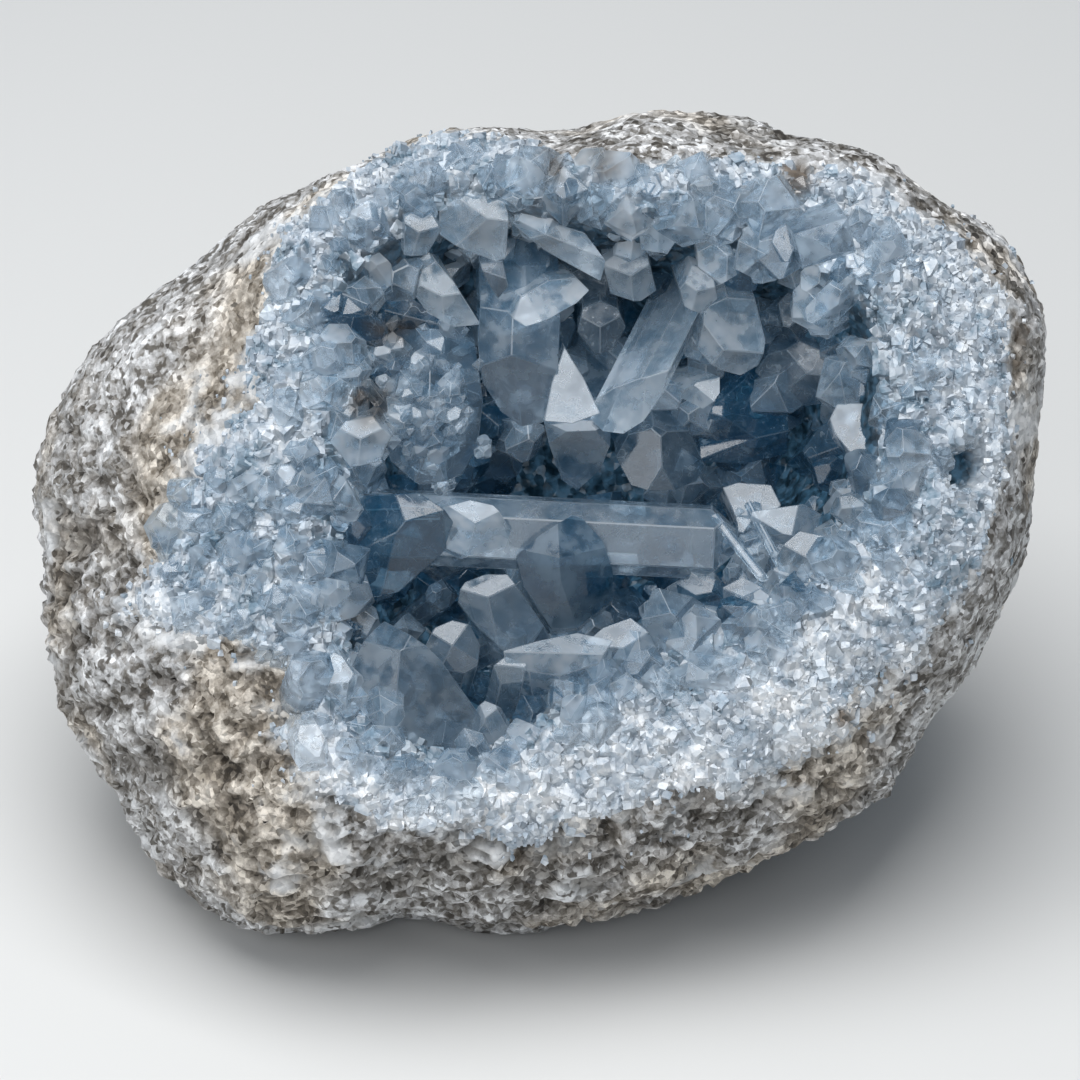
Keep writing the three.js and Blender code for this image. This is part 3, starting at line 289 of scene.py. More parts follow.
# Crystals seen from the side or end, as columns: look, tip, way it points, width, thickness, turn
# about its own axis and slope of its ends in degrees
COLUMNS = [
    ("clear", (30, -10.5, -17), (1, -0.05, 0.03), 15, 14, 8, 50),
    ("clear", (34.5, -18, -5), (0.55, -0.72, 0.42), 2.2, 1.8, 20, 40),
    ("clear", (38.5, -17, -5), (0.4, -0.8, 0.43), 1.8, 1.5, 60, 40),
    ("pale", (36, -12, -6), (-0.3, 0.7, 0.6), 2.0, 1.7, 30, 40),
    ("pale", (17, 16, -16), (0.5, -0.5, 0.7), 9, 7, 0, 40),
    ("blue", (-38, 25, -9), (0.6, -0.3, 0.74), 11, 9, 60, 45),
    ("clear", (-34, 38, -6), (0.5, -0.65, 0.57), 10, 8, 35, 45),
    ("blue", (-44, -20, -5), (0.75, 0.1, 0.65), 11, 9, 20, 45),
    ("pale", (-49, -33, -3), (0.7, 0.2, 0.69), 9, 8, 50, 40),
    ("blue", (47, 41, -5), (-0.45, -0.6, 0.66), 11, 9, 15, 42),
    ("clear", (57, 6, -6), (-0.8, 0.1, 0.6), 10, 8, 65, 42),
    ("pale", (-9, 50, -3), (0.1, -0.7, 0.7), 10, 8, 25, 40),
    ("clear", (-2, -47, 2), (0.05, 0.5, 0.86), 12, 10, 15, 40),
    ("clear", (49, -19, -1), (-0.3, 0.45, 0.84), 10, 9, 0, 35),
]


def polar(radius, angle):
    return radius * math.cos(angle), radius * math.sin(angle)


def radius_by_angle(points):
    """The radius of a closed outline around the origin, as a function of the angle."""
    angles = np.array([math.atan2(v, u) for u, v in points])
    radii = np.array([math.hypot(u, v) for u, v in points])
    order = np.argsort(angles)
    return lambda angle: np.interp(angle, angles[order], radii[order], period=2 * math.pi)


outline_radius = radius_by_angle(OUTLINE)
mouth_radius = radius_by_angle(MOUTH)
crust_reach = radius_by_angle([polar(reach, i * math.pi / 12) for i, reach in enumerate(CRUST_REACH)])


def unseen(u, v, w):
    """Where a point really is that is seen at (u, v) from the viewing distance."""
    spread = 1 - w / VIEW_DISTANCE
    return Vector((
        VIEW_CENTRE.x + (u - VIEW_CENTRE.x) * spread, VIEW_CENTRE.y + (v - VIEW_CENTRE.y) * spread, w))


def place(point):
    """A point (u, v, w) in the model's frame, in metres."""
    return (VIEW_AXES @ point + MIDDLE) * MM


def view_coordinates(points):
    """Model points in metres as seen (u, v) with their depth w, for an array of them."""
    flat = (points / MM - np.array(MIDDLE)) @ np.array(VIEW_AXES)
    spread = 1 - flat[:, 2] / VIEW_DISTANCE
    flat[:, 0] = VIEW_CENTRE.x + (flat[:, 0] - VIEW_CENTRE.x) / spread
    flat[:, 1] = VIEW_CENTRE.y + (flat[:, 1] - VIEW_CENTRE.y) / spread
    return flat


def noises(points, span, seed):
    """Smooth noise at points in millimetres, with lumps of about this span, from -1 to 1."""
    away = Vector((seed * 17.3, seed * 5.1, seed * 11.7))
    return np.array([noise.noise(Vector(p) / span + away) for p in points]) * 1.6


def evaluated(obj):
    """A new mesh of an object with its modifiers applied."""
    depsgraph = bpy.context.evaluated_depsgraph_get()
    return bpy.data.meshes.new_from_object(obj.evaluated_get(depsgraph))


def vertex_arrays(mesh):
    """The places and normals of a mesh's vertices."""
    places = np.empty(len(mesh.vertices) * 3)
    mesh.vertices.foreach_get("co", places)
    normals = np.empty(len(mesh.vertices) * 3)
    mesh.vertex_normals.foreach_get("vector", normals)
    return places.reshape(-1, 3), normals.reshape(-1, 3)


def set_float(mesh, name, values, domain="POINT"):
    """Stores one number for each vertex or face, for the materials."""
    layer = mesh.attributes.new(name, "FLOAT", domain)
    layer.data.foreach_set("value", np.asarray(values, dtype=np.float32))


def set_vector(mesh, name, values):
    layer = mesh.attributes.new(name, "FLOAT_VECTOR", "POINT")
    layer.data.foreach_set("vector", np.asarray(values, dtype=np.float32).ravel())


def smoothstep(x, low, high):
    t = np.clip((x - low) / (high - low), 0, 1)
    return t * t * (3 - 2 * t)


def added(name, data):
    """A new object in the scene."""
    obj = bpy.data.objects.new(name, data)
    bpy.context.scene.collection.objects.link(obj)
    return obj


def new_piece(name, mesh, node, slot, material):
    """A piece of the geode that stands for a CAD node."""
    obj = added(name, mesh)
    mesh.materials.clear()
    mesh.materials.append(material)
    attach(obj, "root")
    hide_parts(node)
    obj.visible_shadow = slot == "limestone"
    return obj


# The stone's fine surface, which both the limestone and the crust's base start from

STONE_VOXEL = 1.28


def fine_stone():
    """The CAD stone with its facets rounded off, as an even fine mesh."""
    source = added("stone_source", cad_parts["limestone_shell"].data.copy())
    welded = bmesh.new()
    welded.from_mesh(source.data)
    bmesh.ops.remove_doubles(welded, verts=welded.verts, dist=0.01 * MM)
    welded.to_mesh(source.data)
    welded.free()
    rounded = source.modifiers.new("round", "SUBSURF")
    rounded.levels = rounded.render_levels = 2
    even = source.modifiers.new("even", "REMESH")
    even.mode, even.voxel_size = "VOXEL", STONE_VOXEL * MM
    mesh = evaluated(source)
    bpy.data.objects.remove(source)
    return mesh


def crust_cover(seen, normals):
    """For fine stone points: how far inside the crust's border each lies, in shares of the rim's
    width, below 0 outside it, and -1 on the back."""
    angle = np.arctan2(seen[:, 1], seen[:, 0])
    radius = np.hypot(seen[:, 0], seen[:, 1])
    outer, inner = outline_radius(angle), mouth_radius(angle)
    share = (radius - inner) / (outer - inner)
    wander = 0.09 * noises(seen, 14, 1) + 0.05 * noises(seen, 5, 2)
    inside = crust_reach(angle) + wander - share
    facing = normals @ np.array(NEAR)
    drop = EDGE_DROP + EDGE_DROP_SWING * np.cos(angle - EDGE_DROP_DIRECTION)
    front = (seen[:, 2] > -drop - 6) & ((facing > -0.15) | (radius < inner + 3)) | (radius < inner)
    back = (radius < inner) & (facing < -0.2) & (seen[:, 2] < -60)
    return np.where(front & ~back, inside, -1.0)


def chunks(points, span, seed):
    """Broken rock: each chunk of about this span is a flat tilted face. Gives the height of the
    face at each point and how near the point is to a gap between chunks (0 there)."""
    noise.seed_set(seed)
    away = Vector((seed * 9.1, seed * 3.7, seed * 5.3))
    height, gap = np.empty(len(points)), np.empty(len(points))
    for i, p in enumerate(points):
        at = Vector(p) / span + away
        distances, cells = noise.voronoi(at)
        tilt = noise.noise_vector(cells[0] * 7.31) * 1.7
        height[i] = tilt.dot(at - cells[0]) * span + noise.noise(cells[0] * 5.17) * 0.25 * span
        gap[i] = (distances[1] - distances[0]) * span
    return height, gap


def stain(seen):
    """How brown the dirt is, from 0 to 1."""
    amount = np.zeros(len(seen))
    ragged = 0.5 * noises(seen, 5, 21) + 0.5 * noises(seen, 2.2, 22)
    for u, v, radius in STAINS:
        distance = np.hypot(seen[:, 0] - u, seen[:, 1] - v) / radius
        amount = np.maximum(amount, smoothstep(1.1 - distance + 0.7 * ragged, 0, 0.7))
    return np.where(seen[:, 2] > -45, amount, 0)


def hoar(seen):
    """How white the druse is, from 0 to 1: whitest along the bottom, bluest in the left pocket."""
    low = smoothstep(-seen[:, 1], 5, 55)
    pocket = np.exp(-((seen[:, 0] + 66) ** 2 + (seen[:, 1] + 14) ** 2) / 18 ** 2)
    upper_left = smoothstep(-seen[:, 0], 20, 60) * smoothstep(seen[:, 1], 0, 30)
    return np.clip(0.5 + 0.5 * low - 0.5 * pocket - 0.15 * upper_left, 0, 1)


def limestone_relief(seen):
    """How far the rough stone's surface stands out of the plain one, in millimetres."""
    low = smoothstep(-seen[:, 1] - 0.35 * seen[:, 0], 5, 50)
    flat = seen * np.array((0.7, 1.4, 0.9)) + 1.5 * noises(seen, 9, 10)[:, None]
    coarse, coarse_gap = chunks(flat, 9, 1)
    small, small_gap = chunks(flat, 4.0, 2)
    lumps = 0.7 * noises(seen, 21, 3)
    grit = 0.32 * noises(seen, 3.4, 5) + 0.3 * noises(seen, 1.9, 6)
    broken = np.clip(coarse, -2, 2) * 0.42 + np.clip(small, -1.2, 1.2) * 0.5
    crevice = 1.2 * smoothstep(-coarse_gap, -1.5, 0) * smoothstep(noises(seen, 13, 11), -0.2, 0.5)
    crevice = crevice + 0.5 * smoothstep(-small_gap, -1.1, 0)
    pits = 1.6 * smoothstep(noises(seen, 3.6, 9), 0.45, 0.8)
    rough = broken - crevice - pits
    return lumps + grit + rough * (0.3 + 0.7 * low)


def limestone(stone, material):
    mesh = stone.copy()
    places, normals = vertex_arrays(mesh)
    seen = view_coordinates(places)
    cover = crust_cover(seen, normals)
    relief = limestone_relief(seen) * (1 - 0.6 * smoothstep(cover, 0.0, 0.1)) - 0.4
    relief = relief - VUG_DEPTH * vug_share(seen)
    on_ground = smoothstep(places[:, 2] / MM, 0.4, 5)
    places = places + normals * (relief * MM * (0.15 + 0.85 * on_ground))[:, None]
    places[:, 2] = np.maximum(places[:, 2], 0.05 * MM)
    mesh.vertices.foreach_set("co", places.ravel())
    set_float(mesh, "near_crust", smoothstep(cover, -0.24, 0.02))
    set_float(mesh, "sunk", smoothstep(-relief, 0.4, 2.0))
    set_float(mesh, "stain", stain(seen))
    for polygon in mesh.polygons:
        polygon.use_smooth = True
    return new_piece("limestone", mesh, "limestone_shell", "limestone", material)


def vug_share(seen):
    """1 in the rim's small hole, 0 around it."""
    distance = np.hypot((seen[:, 0] - VUG[0]) * VUG_STRETCH, seen[:, 1] - VUG[1])
    return smoothstep(VUG[2] + 1.5 - distance, 0, 2) * (seen[:, 2] > -40)


def crust_base(stone, material):
    """The crust's own body under its crystals: the stone's surface moved out, finely grained."""
    mesh = stone.copy()
    places, normals = vertex_arrays(mesh)
    seen = view_coordinates(places)
    cover = crust_cover(seen, normals)
    hollow = smoothstep(1.15 * mouth_radius(np.arctan2(seen[:, 1], seen[:, 0]))
                        - np.hypot(seen[:, 0], seen[:, 1]), 0, 14)
    thickness = 1.2 + 1.6 * hollow + 0.7 * noises(seen, 6, 11) + 0.5 * noises(seen, 2.6, 12)
    edge = smoothstep(cover, -0.03, 0.06)
    vug = vug_share(seen)
    thickness = thickness - 5 * vug
    places = places + normals * ((edge * (thickness + 1) - 1) * MM)[:, None]
    mesh.vertices.foreach_set("co", places.ravel())
    # The hollow's depth and the rim's small hole, where the druse material paints shade on the crust's
    # body.
    set_float(mesh, "hollow", np.maximum(hollow, vug))
    set_float(mesh, "stain", stain(seen))
    set_float(mesh, "hoar", hoar(seen))
    kept = bmesh.new()
    kept.from_mesh(mesh)
    kept.verts.ensure_lookup_table()
    outside = [kept.verts[i] for i in np.flatnonzero(cover < -0.05)]
    bmesh.ops.delete(kept, geom=outside, context="VERTS")
    kept.to_mesh(mesh)
    kept.free()
    for polygon in mesh.polygons:
        polygon.use_smooth = True
    return new_piece("crust_base", mesh, "crystal_crust", "celestite", material)


# Crystals, as convex solids cut by planes

def block_faces(side):
    """A cube's faces as lists of corners."""
    s = side / 2
    corner = [Vector((x, y, z)) for x in (-s, s) for y in (-s, s) for z in (-s, s)]
    loops = [(0, 1, 3, 2), (4, 6, 7, 5), (0, 4, 5, 1), (2, 3, 7, 6), (0, 2, 6, 4), (1, 5, 7, 3)]
    return [[corner[i].copy() for i in loop] for loop in loops]


def cut(faces, outwards, through):
    """What is left of a convex solid on the inner side of a plane."""
    normal = outwards.normalized()
    kept, rim = [], []
    for corners in faces:
        heights = [normal.dot(c - through) for c in corners]
        out = []
        for i, corner in enumerate(corners):
            j = (i + 1) % len(corners)
            if heights[i] <= 1e-6:
                out.append(corner)
            if heights[i] * heights[j] < 0 and max(abs(heights[i]), abs(heights[j])) > 1e-6:
                out.append(corner.lerp(corners[j], heights[i] / (heights[i] - heights[j])))
        if len(out) > 2:
            kept.append(out)
            rim += [c for c in out if abs(normal.dot(c - through)) < 1e-4]
    corners = []
    for c in rim:
        if all((c - other).length > 1e-4 for other in corners):
            corners.append(c)
    if len(corners) > 2:
        middle = sum(corners, Vector()) / len(corners)
        side = (corners[0] - middle).normalized()
        other = normal.cross(side)
        corners.sort(key=lambda c: math.atan2(other.dot(c - middle), side.dot(c - middle)))
        kept.append(corners)
    return kept


def facing(towards, tilt):
    """The view vector towards an angle around the view's direction, tilted from facing the viewer."""
    a, t = math.radians(towards), math.radians(tilt)
    return Vector((math.cos(a) * math.sin(t), math.sin(a) * math.sin(t), math.cos(t)))


def column_faces(width, thickness, length, slope, rng, plain=False):
    """A crystal along +z from 0 to its length, as a flattened column with a sloping end."""
    faces = [[Vector((c.x * width, c.y * thickness, (c.z + 0.5) * length)) for c in f]
             for f in block_faces(1)]
    if not plain:
        for x, y in ((1, 1), (1, -1), (-1, 1), (-1, -1)):
            left = rng.uniform(0.66, 0.8) / 2
            faces = cut(faces, Vector((x * thickness, y * width * 1.25, 0)),
                        Vector((x * left * width, y * left * thickness, 0)))
    end = Vector((width * rng.uniform(-0.16, 0.16), 0, length))
    for side in (1, -1):
        t = math.radians(slope * (1 if side > 0 else rng.uniform(0.85, 1.15)))
        faces = cut(faces, Vector((side * math.sin(t), 0, math.cos(t))), end)
    for side in (1, -1):
        t = math.radians(rng.uniform(48, 62))
        shift = Vector((0, side * thickness * rng.uniform(0, 0.2), 0))
        faces = cut(faces, Vector((0, side * math.sin(t), math.cos(t))), end + shift)
    return faces


def axes_along(along, roll):
    """Columns across, over and along a crystal that points along a direction."""
    across = Vector((0, 1, 0)).cross(along).normalized()
    basis = Matrix((across, along.cross(across), along)).transposed()
    return basis @ Matrix.Rotation(roll, 3, "Z")


class Cluster:
    """Crystals gathered into one mesh, each with its look and its own coordinates."""

    def __init__(self):
        self.corners, self.loops, self.looks, self.own, self.blunt = [], [], [], [], []

    def add(self, corners, loops, looks, own, blunt):
        start = len(self.corners)
        self.corners += corners
        self.loops += [tuple(start + i for i in loop) for loop in loops]
        self.looks += looks
        self.own += own
        self.blunt += blunt

    def mesh(self, name):
        mesh = bpy.data.meshes.new(name)
        mesh.from_pydata([tuple(c) for c in self.corners], [], self.loops)
        set_vector(mesh, "look", self.looks)
        set_vector(mesh, "own", self.own)
        # The blunt faces along the edges, which the crystal material paints with a highlight.
        set_float(mesh, "blunt", self.blunt, "FACE")
        seen = view_coordinates(np.array([tuple(c) for c in self.corners]))
        mouth = mouth_radius(np.arctan2(seen[:, 1], seen[:, 0]))
        set_float(mesh, "hoar", hoar(seen) * smoothstep(np.hypot(seen[:, 0], seen[:, 1]) - mouth, -3, 9))
        set_float(mesh, "stain", stain(seen))
        return mesh


def crust_piece(name, cluster, material):
    return new_piece(name, cluster.mesh(name), "crystal_crust", "celestite", material)


def add_crystal(cluster, faces, look, tip, basis, bevel, rng):
    """Adds a convex solid, in view millimetres, with its edges slightly blunt; the deeper it lies in the
    hollow, the more painted shade its look carries.
    """
    made = bmesh.new()
    made_corners = {}
    for face in faces:
        loop = []
        for c in face:
            key = (round(c.x, 3), round(c.y, 3), round(c.z, 3))
            if key not in made_corners:
                made_corners[key] = made.verts.new(c)
            if made_corners[key] not in loop:
                loop.append(made_corners[key])
        if len(loop) > 2:
            made.faces.new(loop)
    bmesh.ops.remove_doubles(made, verts=made.verts, dist=0.02)
    bmesh.ops.recalc_face_normals(made, faces=made.faces)
    bevelled = bmesh.ops.bevel(
        made, geom=made.edges[:], offset=bevel, segments=1, profile=0.5, affect="EDGES",
        clamp_overlap=True)
    blunt = set(bevelled["faces"])
    made.verts.index_update()
    chance = rng.random()
    milk, deep, smoke = look
    varied = (
        min(max(milk + rng.uniform(-0.15, 0.15), 0), 1), min(max(deep + rng.uniform(-0.2, 0.2), 0), 1),
        min(max(smoke + rng.uniform(-0.1, 0.1), 0), 1))
    turned = basis.transposed()
    own, looks = [], []
    for vert in made.verts:
        local = turned @ (vert.co - tip)
        own.append(((local.x + 40 * chance) * MM, local.y * MM, local.z * MM))
        # Painted shade: the deeper a corner lies below the mouth, the less milky and the bluer its look,
        # which darkens the crystal there.
        dark = min(max((-vert.co.z - 8) / 28, 0), 1)
        looks.append((varied[0] * (1 - 0.5 * dark), min(varied[1] + 0.7 * dark, 1), varied[2]))
    cluster.add([place(v.co) for v in made.verts], [[v.index for v in f.verts] for f in made.faces],
                looks, own, [float(f in blunt) for f in made.faces])
    made.free()


class Ground:
    """The stone's surface, as something to stand crystals on."""

    def __init__(self, mesh):
        places, _ = vertex_arrays(mesh)
        self.tree = BVHTree.FromPolygons(
            [Vector(p) for p in places], [tuple(f.vertices) for f in mesh.polygons])

    def under(self, u, v):
        """The surface's point and normal as seen at (u, v), in view millimetres."""
        start, ahead = place(unseen(u, v, 60)), place(unseen(u, v, -60))
        hit, normal, _, _ = self.tree.ray_cast(start, (ahead - start).normalized())
        if hit is None:
            return None, None
        flat = VIEW_AXES.transposed() @ (hit / MM - MIDDLE)
        return flat, (VIEW_AXES.transposed() @ normal).normalized()

    def root_length(self, tip, along):
        """How far a crystal runs back from its tip until its root is in the stone."""
        start, direction = place(tip), -(VIEW_AXES @ along)
        hit, normal, _, distance = self.tree.ray_cast(start, direction)
        inside = hit is None or normal.dot(direction) > 0
        return 8 if inside else distance / MM + ROOT_DEPTH


def large_crystal(cluster, ground, row, rng):
    look, apex, points, facets, seen = row
    tip, along = unseen(*apex), Vector(points).normalized()
    length = min(ground.root_length(tip, along), 70)
    ends = []
    for towards, tilt, *behind in facets:
        ends.append((facing(towards, tilt), tip - Vector((0, 0, behind[0] if behind else 0))))
    corners = []
    for u, v in seen:
        depth = min(t.z - (n.x * (u - t.x) + n.y * (v - t.y)) / n.z for n, t in ends)
        corners.append(unseen(u, v, depth))
    faces = [[c + tip for c in f] for f in block_faces(160)]
    faces = cut(faces, -along, tip - along * length)
    for normal, through in ends:
        faces = cut(faces, normal, through)
    for i, corner in enumerate(corners):
        edge = corners[(i + 1) % len(corners)] - corner
        faces = cut(faces, edge.cross(along), corner)
    add_crystal(cluster, faces, LOOKS[look], tip, axes_along(along, 0), LARGE_BLUNTNESS, rng)


def column(cluster, look, tip, along, width, thickness, length, slope, roll, rng, plain, bevel):
    """A column-shaped crystal; slope and roll are in degrees."""
    basis = axes_along(along, math.radians(roll))
    start = tip - along * length
    faces = column_faces(width, thickness, length, slope, rng, plain)
    faces = [[basis @ c + start for c in f] for f in faces]
    add_crystal(cluster, faces, look, tip, basis, bevel, rng)


def large_crystals(ground, material):
    rng = random.Random(11)
    cluster = Cluster()
    for row in LARGE_CRYSTALS:
        large_crystal(cluster, ground, row, rng)
    for look, tip, points, width, thickness, roll, slope in COLUMNS:
        tip, along = unseen(*tip), Vector(points).normalized()
        length = min(ground.root_length(tip, along) + width / 4, 75 if width > 4 else 18)
        column(cluster, LOOKS[look], tip, along, width, thickness, length, slope, roll, rng, False,
               COLUMN_BLUNTNESS)
    return crust_piece("large_crystals", cluster, material)


def chance_column(cluster, look, tip, along, width, length, rng, bevel=SMALL_BLUNTNESS):
    """A column of random thickness, slope and turn, sometimes with square edges."""
    column(cluster, look, tip, along, width, width * rng.uniform(0.6, 0.95), length,
           rng.uniform(32, 54), rng.uniform(0, 180), rng, rng.random() < 0.4, bevel)


def strew_column(cluster, ground, u, v, width, stands_out, look, rng, on_rim=False):
    """A small crystal that stands out of the surface at (u, v), pointing roughly straight out."""
    at, normal = ground.under(u, v)
    in_vug = math.hypot((u - VUG[0]) * VUG_STRETCH, v - VUG[1]) < VUG[2] + 0.5
    if at is None or in_vug or (on_rim and (normal.z < 0.25 or at.z < -24)):
        return
    along = normal + Vector((rng.uniform(-0.5, 0.5), rng.uniform(-0.5, 0.5), rng.uniform(0, 0.8)))
    along.normalize()
    length = width * rng.uniform(1.4, 2.2)
    tip = at + along * length * stands_out
    if on_rim and tip.xy.length > float(outline_radius(math.atan2(tip.y, tip.x))) - 2:
        return
    chance_column(cluster, look, tip, along, width, length, rng)


def perched_crystals(cluster, rng):
    """Small crystals grown over large ones."""
    for (middle_u, middle_v, middle_w), (spread_u, spread_v), count in OVERGROWN:
        for _ in range(count):
            u, v = middle_u + rng.gauss(0, spread_u), middle_v + rng.gauss(0, spread_v)
            away = math.hypot(u - middle_u, v - middle_v)
            width = rng.uniform(1.8, 4.6)
            tip = unseen(u, v, middle_w - 0.55 * away + 0.4 * width)
            along = Vector((rng.uniform(-0.7, 0.7), rng.uniform(-0.7, 0.7), 1)).normalized()
            chance_column(cluster, LOOKS[rng.choice(("clear", "pale", "blue", "frost"))], tip, along,
                          width, 8, rng)


def wall_crystals(cluster, ground, rng):
    """Crystals over the hollow's wall; the deeper ones take the bluer and smokier looks, as painted
    shade deeper in the hollow.
    """
    looks = [LOOKS[k] for k in ("clear", "pale", "blue", "blue", "deep", "frost")]
    for _ in range(WALL_CRYSTALS):
        angle = rng.uniform(-math.pi, math.pi)
        share = math.sqrt(rng.uniform(0.12, 1.15))
        u, v = polar(float(mouth_radius(angle)) * share, angle)
        # Painted shade: the crystals deep in the hollow get only the darker looks.
        deep = share < 0.8
        look = LOOKS[rng.choice(("deep", "deep", "blue", "smoky"))] if deep else rng.choice(looks)
        width = 4 + 7 * rng.random() ** 1.7
        strew_column(cluster, ground, u, v, width, rng.uniform(0.5, 0.85), look, rng)


def filling_crystals(cluster, ground, rng):
    """Long crystals from the hollow's back that fill it, but for its dark gaps."""
    for _ in range(FILLERS):
        angle = rng.uniform(-math.pi, math.pi)
        u, v = polar(float(mouth_radius(angle)) * math.sqrt(rng.uniform(0, 0.85)), angle)
        if any(math.hypot(u - gap_u, v - gap_v) < radius for gap_u, gap_v, radius in DARK_GAPS):
            continue
        width = rng.uniform(5, 12)
        tip = unseen(u, v, -rng.uniform(13, 30))
        at, _ = ground.under(u, v)
        if at is None or at.z > tip.z - 3:
            continue
        along = Vector((-u * rng.uniform(0.2, 1), -v * rng.uniform(0.2, 1), rng.uniform(20, 60)))
        along.normalize()
        length = min(ground.root_length(tip, along), 60)
        look = LOOKS[rng.choice(("deep", "blue", "smoky", "pale", "clear"))]
        chance_column(cluster, look, tip, along, width, length, rng, FILLER_BLUNTNESS)


def ring_crystals(cluster, ground, rng):
    """Crystals around the mouth, bluer at its upper left."""
    for _ in range(RING_CRYSTALS):
        angle = rng.uniform(-math.pi, math.pi)
        u, v = polar(float(mouth_radius(angle)) * rng.uniform(0.84, 1.14), angle)
        blue = u < -25 and v > -20
        kinds = ("clear", "blue", "blue", "coated") if blue else ("clear", "pale", "frost", "blue")
        look = LOOKS[rng.choice(kinds)]
        strew_column(
            cluster, ground, u, v, rng.uniform(4.5, 10), rng.uniform(0.3, 0.6), look, rng, True)


def rim_crystals(cluster, ground, rng):
    """Smaller crystals over the rim, smallest along the crust's border and largest at the top."""
    for _ in range(RIM_CRYSTALS):
        angle = rng.uniform(-math.pi, math.pi)
        share = float(crust_reach(angle)) * 0.95 * rng.random() ** 1.2
        inner, outer = float(mouth_radius(angle)), float(outline_radius(angle))
        u, v = polar(inner + (outer - inner) * share, angle)
        top = math.exp(-((angle - 1.7) / 0.7) ** 2)
        border = share / max(float(crust_reach(angle)), 0.1)
        width = 2.2 + (5.5 + 4 * top) * (1 - 0.75 * border) * rng.random() ** 2
        stands_out = rng.uniform(0.2, 0.45)
        look = LOOKS[rng.choice(("clear", "pale", "pale", "frost", "frost", "clear", "blue"))]
        strew_column(cluster, ground, u, v, width, stands_out, look, rng, True)


def pocket_crystals(cluster, ground, rng):
    """Crystals in the side pocket."""
    middle_u, middle_v, size = POCKET
    for _ in range(POCKET_CRYSTALS):
        radius, angle = size * math.sqrt(rng.random()), rng.uniform(-math.pi, math.pi)
        u, v = polar(radius, angle)
        width, stands_out = rng.uniform(3, 7.5), rng.uniform(0.25, 0.55)
        look = LOOKS[rng.choice(("clear", "pale", "blue", "frost"))]
        strew_column(cluster, ground, middle_u + u, middle_v + v, width, stands_out, look, rng, True)


def small_crystals(ground, material):
    """Crystals of middling size, in the hollow, around it and over its rim."""
    rng = random.Random(23)
    cluster = Cluster()
    for strewn in (wall_crystals, filling_crystals, ring_crystals, rim_crystals, pocket_crystals):
        strewn(cluster, ground, rng)
    perched_crystals(cluster, rng)
    return crust_piece("small_crystals", cluster, material)


def grain_template(rng):
    """A small angular chip, of size about 1, as corners and loops."""
    faces = block_faces(1)
    for _ in range(4):
        direction = Vector((rng.gauss(0, 1), rng.gauss(0, 1), rng.gauss(0, 1))).normalized()
        faces = cut(faces, direction, direction * rng.uniform(0.32, 0.5))
    corners, loops = [], []
    for face in faces:
        loop = []
        for c in face:
            near = [i for i, other in enumerate(corners) if (c - other).length < 0.02]
            if near:
                index = near[0]
            else:
                index = len(corners)
                corners.append(c)
            if index not in loop:
                loop.append(index)
        if len(loop) > 2:
            loops.append(loop)
    return corners, loops


def grain(cluster, templates, at, outwards, size, rng):
    """One grain, partly sunk in the surface."""
    corners, loops = rng.choice(templates)
    turn = Matrix.Rotation(rng.uniform(0, 6.28), 3, "X") @ Matrix.Rotation(
        rng.uniform(0, 6.28), 3, "Z")
    stretch = Vector((size, size * rng.uniform(0.6, 1), size * rng.uniform(0.8, 1.6)))
    middle = at + outwards * size * rng.uniform(-0.35, 0.1) * MM
    made = [middle + turn @ (c * stretch) * MM for c in corners]
    look = (0, max(0, rng.uniform(-0.4, 0.35)), max(0, rng.uniform(-0.6, 0.4)))
    cluster.add(made, loops, [look] * len(made), [(0, 0, 0)] * len(made), [0] * len(loops))


def rim_grains(stone, base, material):
    """Sugar-like grains over the crust's rim, thickest away from the hollow."""
    rng = random.Random(37)
    templates = [grain_template(rng) for _ in range(GRAIN_SHAPES)]
    places, normals = vertex_arrays(base.data)
    seen = view_coordinates(places)
    angle = np.arctan2(seen[:, 1], seen[:, 0])
    inner, outer = mouth_radius(angle), outline_radius(angle)
    share = (np.hypot(seen[:, 0], seen[:, 1]) - inner) / (outer - inner)
    picks = list(np.flatnonzero((share > -0.12) & (vug_share(seen) < 0.5)))
    rng.shuffle(picks)
    cluster = Cluster()
    for i in picks[:RIM_GRAINS]:
        size = (0.7 + 2.4 * rng.random() ** 3) * (1.15 - 0.3 * float(share[i]))
        grain(cluster, templates, Vector(places[i]), Vector(normals[i]), size, rng)
    places, normals = vertex_arrays(stone)
    cover = crust_cover(view_coordinates(places), normals)
    chance = smoothstep(cover, -0.3, 0) ** 2 * (cover < 0.02) * (cover > -0.9)
    strays = [i for i in np.flatnonzero(chance > 0) if rng.random() < 0.12 * chance[i]]
    for i in strays[:STRAY_GRAINS]:
        grain(cluster, templates, Vector(places[i]), Vector(normals[i]), 0.45 + 0.9 * rng.random() ** 2,
              rng)
    return crust_piece("rim_grains", cluster, material)


# Materials

def node_material(name):
    """A new material, and make(kind, ...), which adds a node to it. There in_NAME values go to the
    node's inputs and the others to the node itself."""
    material = bpy.data.materials.new(name)
    material.use_nodes = True
    tree = material.node_tree
    tree.nodes.clear()

    def make(kind, **values):
        node = tree.nodes.new("ShaderNode" + kind)
        for key, value in values.items():
            if not key.startswith("in_"):
                setattr(node, key, value)
        for key, value in values.items():
            if key.startswith("in_"):
                socket_name = key[3:].replace("_", " ")
                socket = node.inputs[int(socket_name) if socket_name.isdigit() else socket_name]
                if isinstance(value, bpy.types.NodeSocket):
                    tree.links.new(value, socket)
                else:
                    socket.default_value = value
        return node

    return material, make


def attribute(make, name, output="Fac"):
    return make("Attribute", attribute_name=name).outputs[output]


